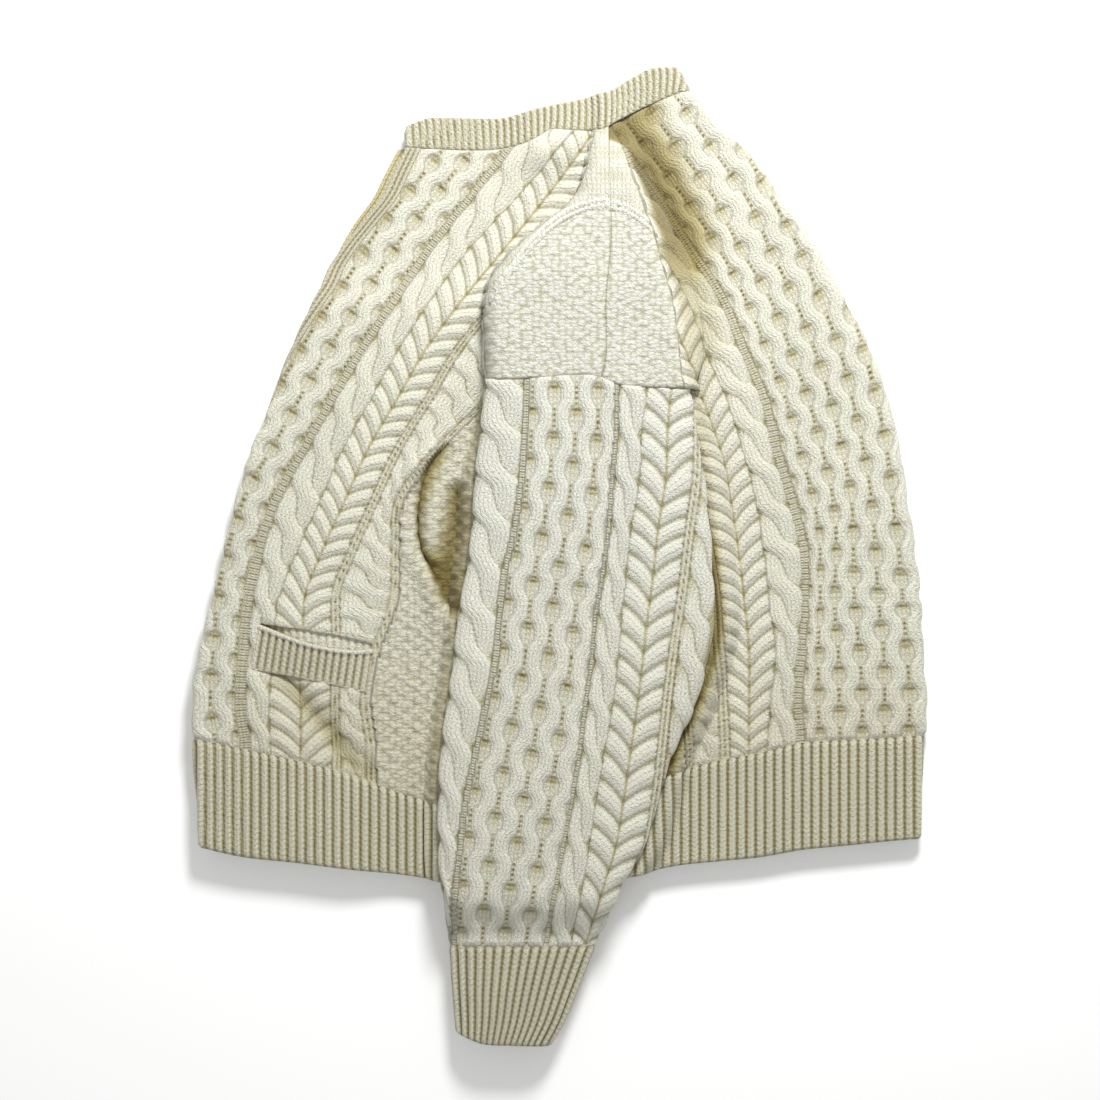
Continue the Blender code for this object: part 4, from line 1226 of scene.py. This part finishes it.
def tube_across(points, ring):
    """Distance round the tube from its middle line, the same on both faces at each edge."""
    run = run_along(np.concatenate([points, points[:, :1]], axis=1), 1)
    top, bottom = np.searchsorted(ring, (0.5, 1.5))
    middle = (points[:, top : top + 1, 0] + points[:, bottom : bottom + 1, 0]) / 2
    over = middle + run[:, :-1] - run[:, top : top + 1]
    under = middle - run[:, :-1] + run[:, bottom : bottom + 1]
    return np.where(ring <= 1, over, under)


def tube_fade(ring, over, under):
    share = (1 - np.cos(np.pi * np.where(ring <= 1, ring, 2 - ring))) / 2
    edge = ease(np.minimum(share, 1 - share) / 0.03)
    return np.where(ring <= 1, over, over + (under - over) * edge)


def make_sleeve(name, point, rows, ring, over, under):
    points = grid_points(point, spread((SLEEVE_START, SLEEVE_END), (rows,)), ring)
    found = sleeve_pattern(tube_across(points, ring), points[..., 1])
    edge = edges_fade(points, top=4, bottom=4, level="bottom")
    # Painted light: the sleeve is painted whiter, most at its top and less towards the cuff
    painted_light = 0.55 - 0.35 * ease((60 - points[..., 1]) / 200)
    return shell(name, [Block(points, found, tube_fade(ring, over, under), edge, ring=True, painted_light=painted_light)])


def make_cuff(name, point, rows, ring, over, under):
    points = grid_points(point, spread((0, 1), (rows,)), ring)
    found = ribs(tube_across(points, ring)[:1], run_along(points, 0), CUFF_RIB, CUFF_HIGH)
    edge = edges_fade(points, top=5, bottom=3, level="top")
    return shell(name, [Block(points, found, tube_fade(ring, over, under), edge, ring=True)])


# --- Wool ---
STITCH_WIDE, STITCH_TALL = 3.3, 4.3  # one knit stitch, in millimetres
MOSS_WIDE, MOSS_TALL = 5.0, 3.3  # one block of moss stitch
# How fine the wool's unevenness is, and in how many steps: the yarn's wandering, its fuzz, its patches
WANDER, FUZZ, PATCH = (210, 1), (750, 3), (26, 2)
BODY_TONE = (0.82, 0.806, 0.67)
LIT_WHITE = (0.81, 0.81, 0.73)  # painted light: the white that the wool is painted towards where it is lit most
RECESS_SHADE = (0.50, 0.455, 0.255)  # painted shade: the wool is painted olive down in the channels
# Painted shade: what is left of each colour of light where two strands meet, and down in a fold, from none of
# it to all
WHITE = (1, 1, 1)
CREASE_SHADE = ((0, WHITE), (0.35, (0.73, 0.685, 0.52)), (0.7, (0.40, 0.34, 0.17)), (1, (0.14, 0.095, 0.02)))
HOLLOW_SHADE = ((0, WHITE), (0.5, (0.60, 0.53, 0.32)), (1, (0.30, 0.24, 0.09)))


def operator(operation, swapped=False):
    """A method that joins two values by a math node."""
    return lambda self, other: self.on.math(operation, *((other, self) if swapped else (self, other)))


class Value:
    """A value in a material's node tree. Sums and products of values add the nodes that work them out."""

    def __init__(self, on, socket):
        self.on, self.socket = on, socket

    __add__, __radd__ = operator("ADD"), operator("ADD", swapped=True)
    __sub__, __rsub__ = operator("SUBTRACT"), operator("SUBTRACT", swapped=True)
    __mul__, __pow__ = operator("MULTIPLY"), operator("POWER")

    def sine(self, period):
        return self.on.math("SINE", self * (2 * math.pi / period))


class Material:
    """A new material, with short ways to add nodes whose inputs are numbers, colours or Values."""

    def __init__(self, name):
        self.made = bpy.data.materials.new(name)
        self.made.use_nodes = True
        self.tree = self.made.node_tree
        self.shader = self.tree.nodes["Principled BSDF"]

    def feed(self, node, inputs):
        for key, value in inputs.items():
            if isinstance(value, Value):
                self.tree.links.new(value.socket, node.inputs[key])
            else:
                node.inputs[key].default_value = (*value, 1) if isinstance(value, tuple) else value

    def add(self, kind, inputs, output=0, **settings):
        node = self.tree.nodes.new("ShaderNode" + kind)
        for key, value in settings.items():
            setattr(node, key, value)
        self.feed(node, inputs)
        return Value(self, node.outputs[output])

    def math(self, operation, *values):
        return self.add("Math", dict(enumerate(values)), operation=operation)

    def attribute(self, name, output="Fac"):
        return self.add("Attribute", {}, output, attribute_name=name)

    def noise(self, where, scale, detail):
        return self.add("TexNoise", {"Vector": where, "Scale": scale, "Detail": detail})

    # The inputs of a Mix node: 0 is the share, 2 and 3 are its two numbers, 6 and 7 its two colours
    def mixed(self, share, first, second):
        return self.add("Mix", {0: share, 2: first, 3: second})

    def tinted(self, share, first, second, blend="MIX"):
        return self.add("Mix", {0: share, 6: first, 7: second}, 2, data_type="RGBA", blend_type=blend)

    def dimmed(self, colour, share, stops):
        """The colour, times what these stops say is left of it at this share."""
        ramp = self.add("ValToRGB", {0: share})
        elements = ramp.socket.node.color_ramp.elements
        for place, _ in stops[1:-1]:
            elements.new(place)
        for element, (_, left) in zip(elements, stops):
            element.color = (*left, 1)
        return self.tinted(1, colour, ramp, "MULTIPLY")


def wool(name, colour=BODY_TONE, recess_shade=RECESS_SHADE, stitch=0.75, uneven=2.4):
    """Matt wool: knit stitches and purl bars as bump, with painted shade, darker and more olive, where the
    relief is low.
    """
    on = Material(name)
    parts = on.add("SeparateXYZ", {0: on.attribute("stitch", "Vector")})
    across, along, purl = (Value(on, socket) for socket in parts.socket.node.outputs)
    where = on.add("TexCoord", {}, "Object")
    wander, fuzz, patch = (on.noise(where, *fineness) for fineness in (WANDER, FUZZ, PATCH))

    # Knit: two legs that lean together. Purl: rows of bars. Moss: uneven blocks.
    column = on.math("FRACT", (across + wander * uneven) * (1 / STITCH_WIDE))
    from_middle = on.math("ABSOLUTE", column - 0.5)
    leg = on.math("FRACT", along * (1 / STITCH_TALL) + from_middle * -1.5).sine(2) ** 0.35
    rounded = 1.0 - (from_middle * 2.0) ** 2.5
    knit = leg * 0.4 + rounded * 0.4
    bars = on.math("ABSOLUTE", along.sine(STITCH_TALL)) * (0.6 + across.sine(STITCH_WIDE) * 0.4)
    moss = on.math("MAXIMUM", purl - 1.0, 0.0)
    cell = on.add("CombineXYZ", {0: across * (1 / MOSS_WIDE), 1: along * (1 / MOSS_TALL)})
    smooth = {"feature": "SMOOTH_F1", "voronoi_dimensions": "2D"}
    cells = {"Scale": 1, "Randomness": 0.7, "Smoothness": 0.25, "Vector": cell}
    block_rise = 1.15 - on.add("TexVoronoi", cells, "Distance", **smooth) * 1.5
    stitches = on.mixed(moss, on.mixed(purl * (1.0 - moss), knit, bars), block_rise * 0.4 + 0.13)
    surface = stitches * stitch + fuzz * 0.95
    bump = on.add("Bump", {"Strength": 0.85, "Distance": 0.0018, "Height": surface})

    # Colour: painted shade where the relief is low, painted light where the wool is turned up to the light,
    # painted shade in creases and hollows, and a little uneven
    steps = {"Value": on.attribute("raised"), "From Min": 0.02, "From Max": 0.7}
    level = on.add("MapRange", steps, interpolation_type="SMOOTHSTEP")
    # Painted shade in the gaps between the moss blocks
    moss_gap_shade = on.math("MAXIMUM", on.math("MINIMUM", moss * (0.65 - block_rise) * 1.25, 0.52), 0.0)
    lit_tone = on.tinted(on.attribute("painted_light"), colour, LIT_WHITE)
    tone = on.tinted(level * (1.0 - moss_gap_shade), recess_shade, lit_tone)
    # Painted shade between the stitches' legs, together with the wool's own random unevenness
    stitch_shade_and_unevenness = on.math("MINIMUM", stitches, 1.0) * 0.26 + patch * 0.14 + fuzz * 0.34 + 0.44
    # The painted crease shade comes in dots along the rows of stitches
    dots = (0.55 + along.sine(STITCH_TALL) * 0.45) * (0.35 + wander * 1.1)
    crease_shaded = on.dimmed(tone, on.attribute("crease_shade") * dots * 0.95, CREASE_SHADE)
    hollow_shaded = on.dimmed(crease_shaded, on.attribute("olive"), HOLLOW_SHADE)
    final = on.add("VectorMath", {0: hollow_shaded, "Scale": stitch_shade_and_unevenness}, operation="SCALE")
    on.feed(on.shader, {
        "Base Color": final, "Normal": bump, "Roughness": 0.92, "Specular IOR Level": 0.25,
        "Sheen Weight": 0.3, "Sheen Roughness": 0.45, "Sheen Tint": (1.0, 0.97, 0.86),
    })
    return on.made


def plain(name, colour, roughness, glow=0.0):
    on = Material(name)
    on.feed(on.shader, {"Base Color": colour, "Roughness": roughness})
    on.feed(on.shader, {"Emission Color": WHITE, "Emission Strength": glow})
    return on.made


# --- Putting the garment together ---
def rib_wool(name, colour, recess_shade):
    return wool(name, colour, recess_shade, stitch=1.0, uneven=0.6)


lining, border = make_lining(), make_border()
hem_left, hem_right, hem_behind = make_hems()
sleeve_left = make_sleeve("sleeve_left_cables", left_sleeve, 276, tube_ring(144, 48), 1.0, 0.25)
sleeve_right = make_sleeve("sleeve_right_cables", right_sleeve, 132, tube_ring(60, 48, 6), 0.3, 0.3)
cuff_left = make_cuff("cuff_left_rib", left_cuff, 42, tube_ring(96, 48), 1.0, 0.3)
cuff_right = make_cuff("cuff_right_rib", right_cuff, 24, tube_ring(60, 48, 6), 0.4, 0.35)
front, other_front, behind, neck = make_front_left(), make_front_right(), make_back(), make_collar()
edge_left = make_band("band_left_rib", band_left, 1.0, 0.0)
edge_right = make_band("band_right_rib", band_right, 0.5, 1.2)

cables = wool("cable_wool")
# Lit and shaded copies of the one wool, as painted light and shade: the darkest for the hems and cuffs at the
# bottom, a lighter one for the collar, left band and pocket border
shaded_ribbing = rib_wool("ribbed_wool", (0.74, 0.715, 0.55), (0.36, 0.315, 0.17))
lit_ribbing = rib_wool("lit_ribbed_wool", (0.785, 0.765, 0.62), (0.45, 0.405, 0.24))
# Painted shade: the right band, which lies under the left one, is painted darker and more yellow
shaded_band_ribbing = rib_wool("shaded_band_ribbed_wool", (0.76, 0.68, 0.42), (0.46, 0.38, 0.16))

# Each piece: its node, its wool, its flat cut (width, length), that cut's area, what it lies on.
PIECES = (
    (front, "front_left", cables, (0.30, 0.55), 0.129, (other_front,)),
    (other_front, "front_right", cables, (0.30, 0.55), 0.129, ()),
    (behind, "back", cables, (0.50, 0.56), 0.243, ()),
    (sleeve_left, "sleeve_left", cables, (0.42, 0.46), 0.154, (behind,)),
    (sleeve_right, "sleeve_right", cables, (0.40, 0.46), 0.139, ()),
    (cuff_left, "cuff_left", shaded_ribbing, (0.22, 0.08), 0.015, (cuff_right,)),
    (cuff_right, "cuff_right", shaded_ribbing, (0.20, 0.075), 0.012, ()),
    (hem_left, "hem_front_left", shaded_ribbing, (0.36, 0.07), 0.022, (hem_right,)),
    (hem_right, "hem_front_right", shaded_ribbing, (0.36, 0.07), 0.022, ()),
    (hem_behind, "hem_back", shaded_ribbing, (0.70, 0.07), 0.042, ()),
    (neck, "collar", lit_ribbing, (0.42, 0.035), 0.0107, ()),
    (edge_left, "band_left", lit_ribbing, (0.0125, 0.62), 0.0074, ()),
    (edge_right, "band_right", shaded_band_ribbing, (0.0125, 0.62), 0.0074, ()),
    (border, "pocket_border_left", lit_ribbing, (0.11, 0.034), 0.0034, (lining,)),
    (lining, "pocket_lining_left", cables, (0.13, 0.11), 0.0105, (other_front,)),
)
for obj, node, material, flat, area, under in PIECES:
    obj.data.materials.append(material)
    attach(obj, "root")
    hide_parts(node)

# --- Floor, light and camera ---
bpy.ops.mesh.primitive_plane_add(size=6)
floor = bpy.context.object
floor.name = "floor"
floor.data.materials.append(plain("floor_white", (0.98, 0.98, 0.975), 0.8, glow=0.1))
scene = bpy.context.scene


def area_light(name, at, toward, size, power):
    light = bpy.data.lights.new(name, "AREA")
    light.shape, light.size, light.energy = "DISK", size, power
    obj = bpy.data.objects.new(name, light)
    obj.location = at
    aim = [b - a for a, b in zip(at, toward)]
    obj.rotation_mode = "QUATERNION"
    obj.rotation_quaternion = mathutils.Vector(aim).to_track_quat("-Z", "Y")
    scene.collection.objects.link(obj)


area_light("key", (0.25, 1.12, 1.0), (0, 0.1, 0), 0.4, 26)
area_light("fill", (-0.6, -1.0, 2.0), (0, 0, 0), 1.6, 5)
world = bpy.data.worlds.new("studio")
world.use_nodes = True
world.node_tree.nodes["Background"].inputs["Color"].default_value = (1, 1, 1, 1)
world.node_tree.nodes["Background"].inputs["Strength"].default_value = 0.43
scene.world = world
scene.view_settings.view_transform = "Standard"

camera = bpy.data.objects.new("camera", bpy.data.cameras.new("camera"))
camera.data.lens = 90
camera.location = (-0.008, 0.004, 2.2)
scene.collection.objects.link(camera)
scene.camera = camera
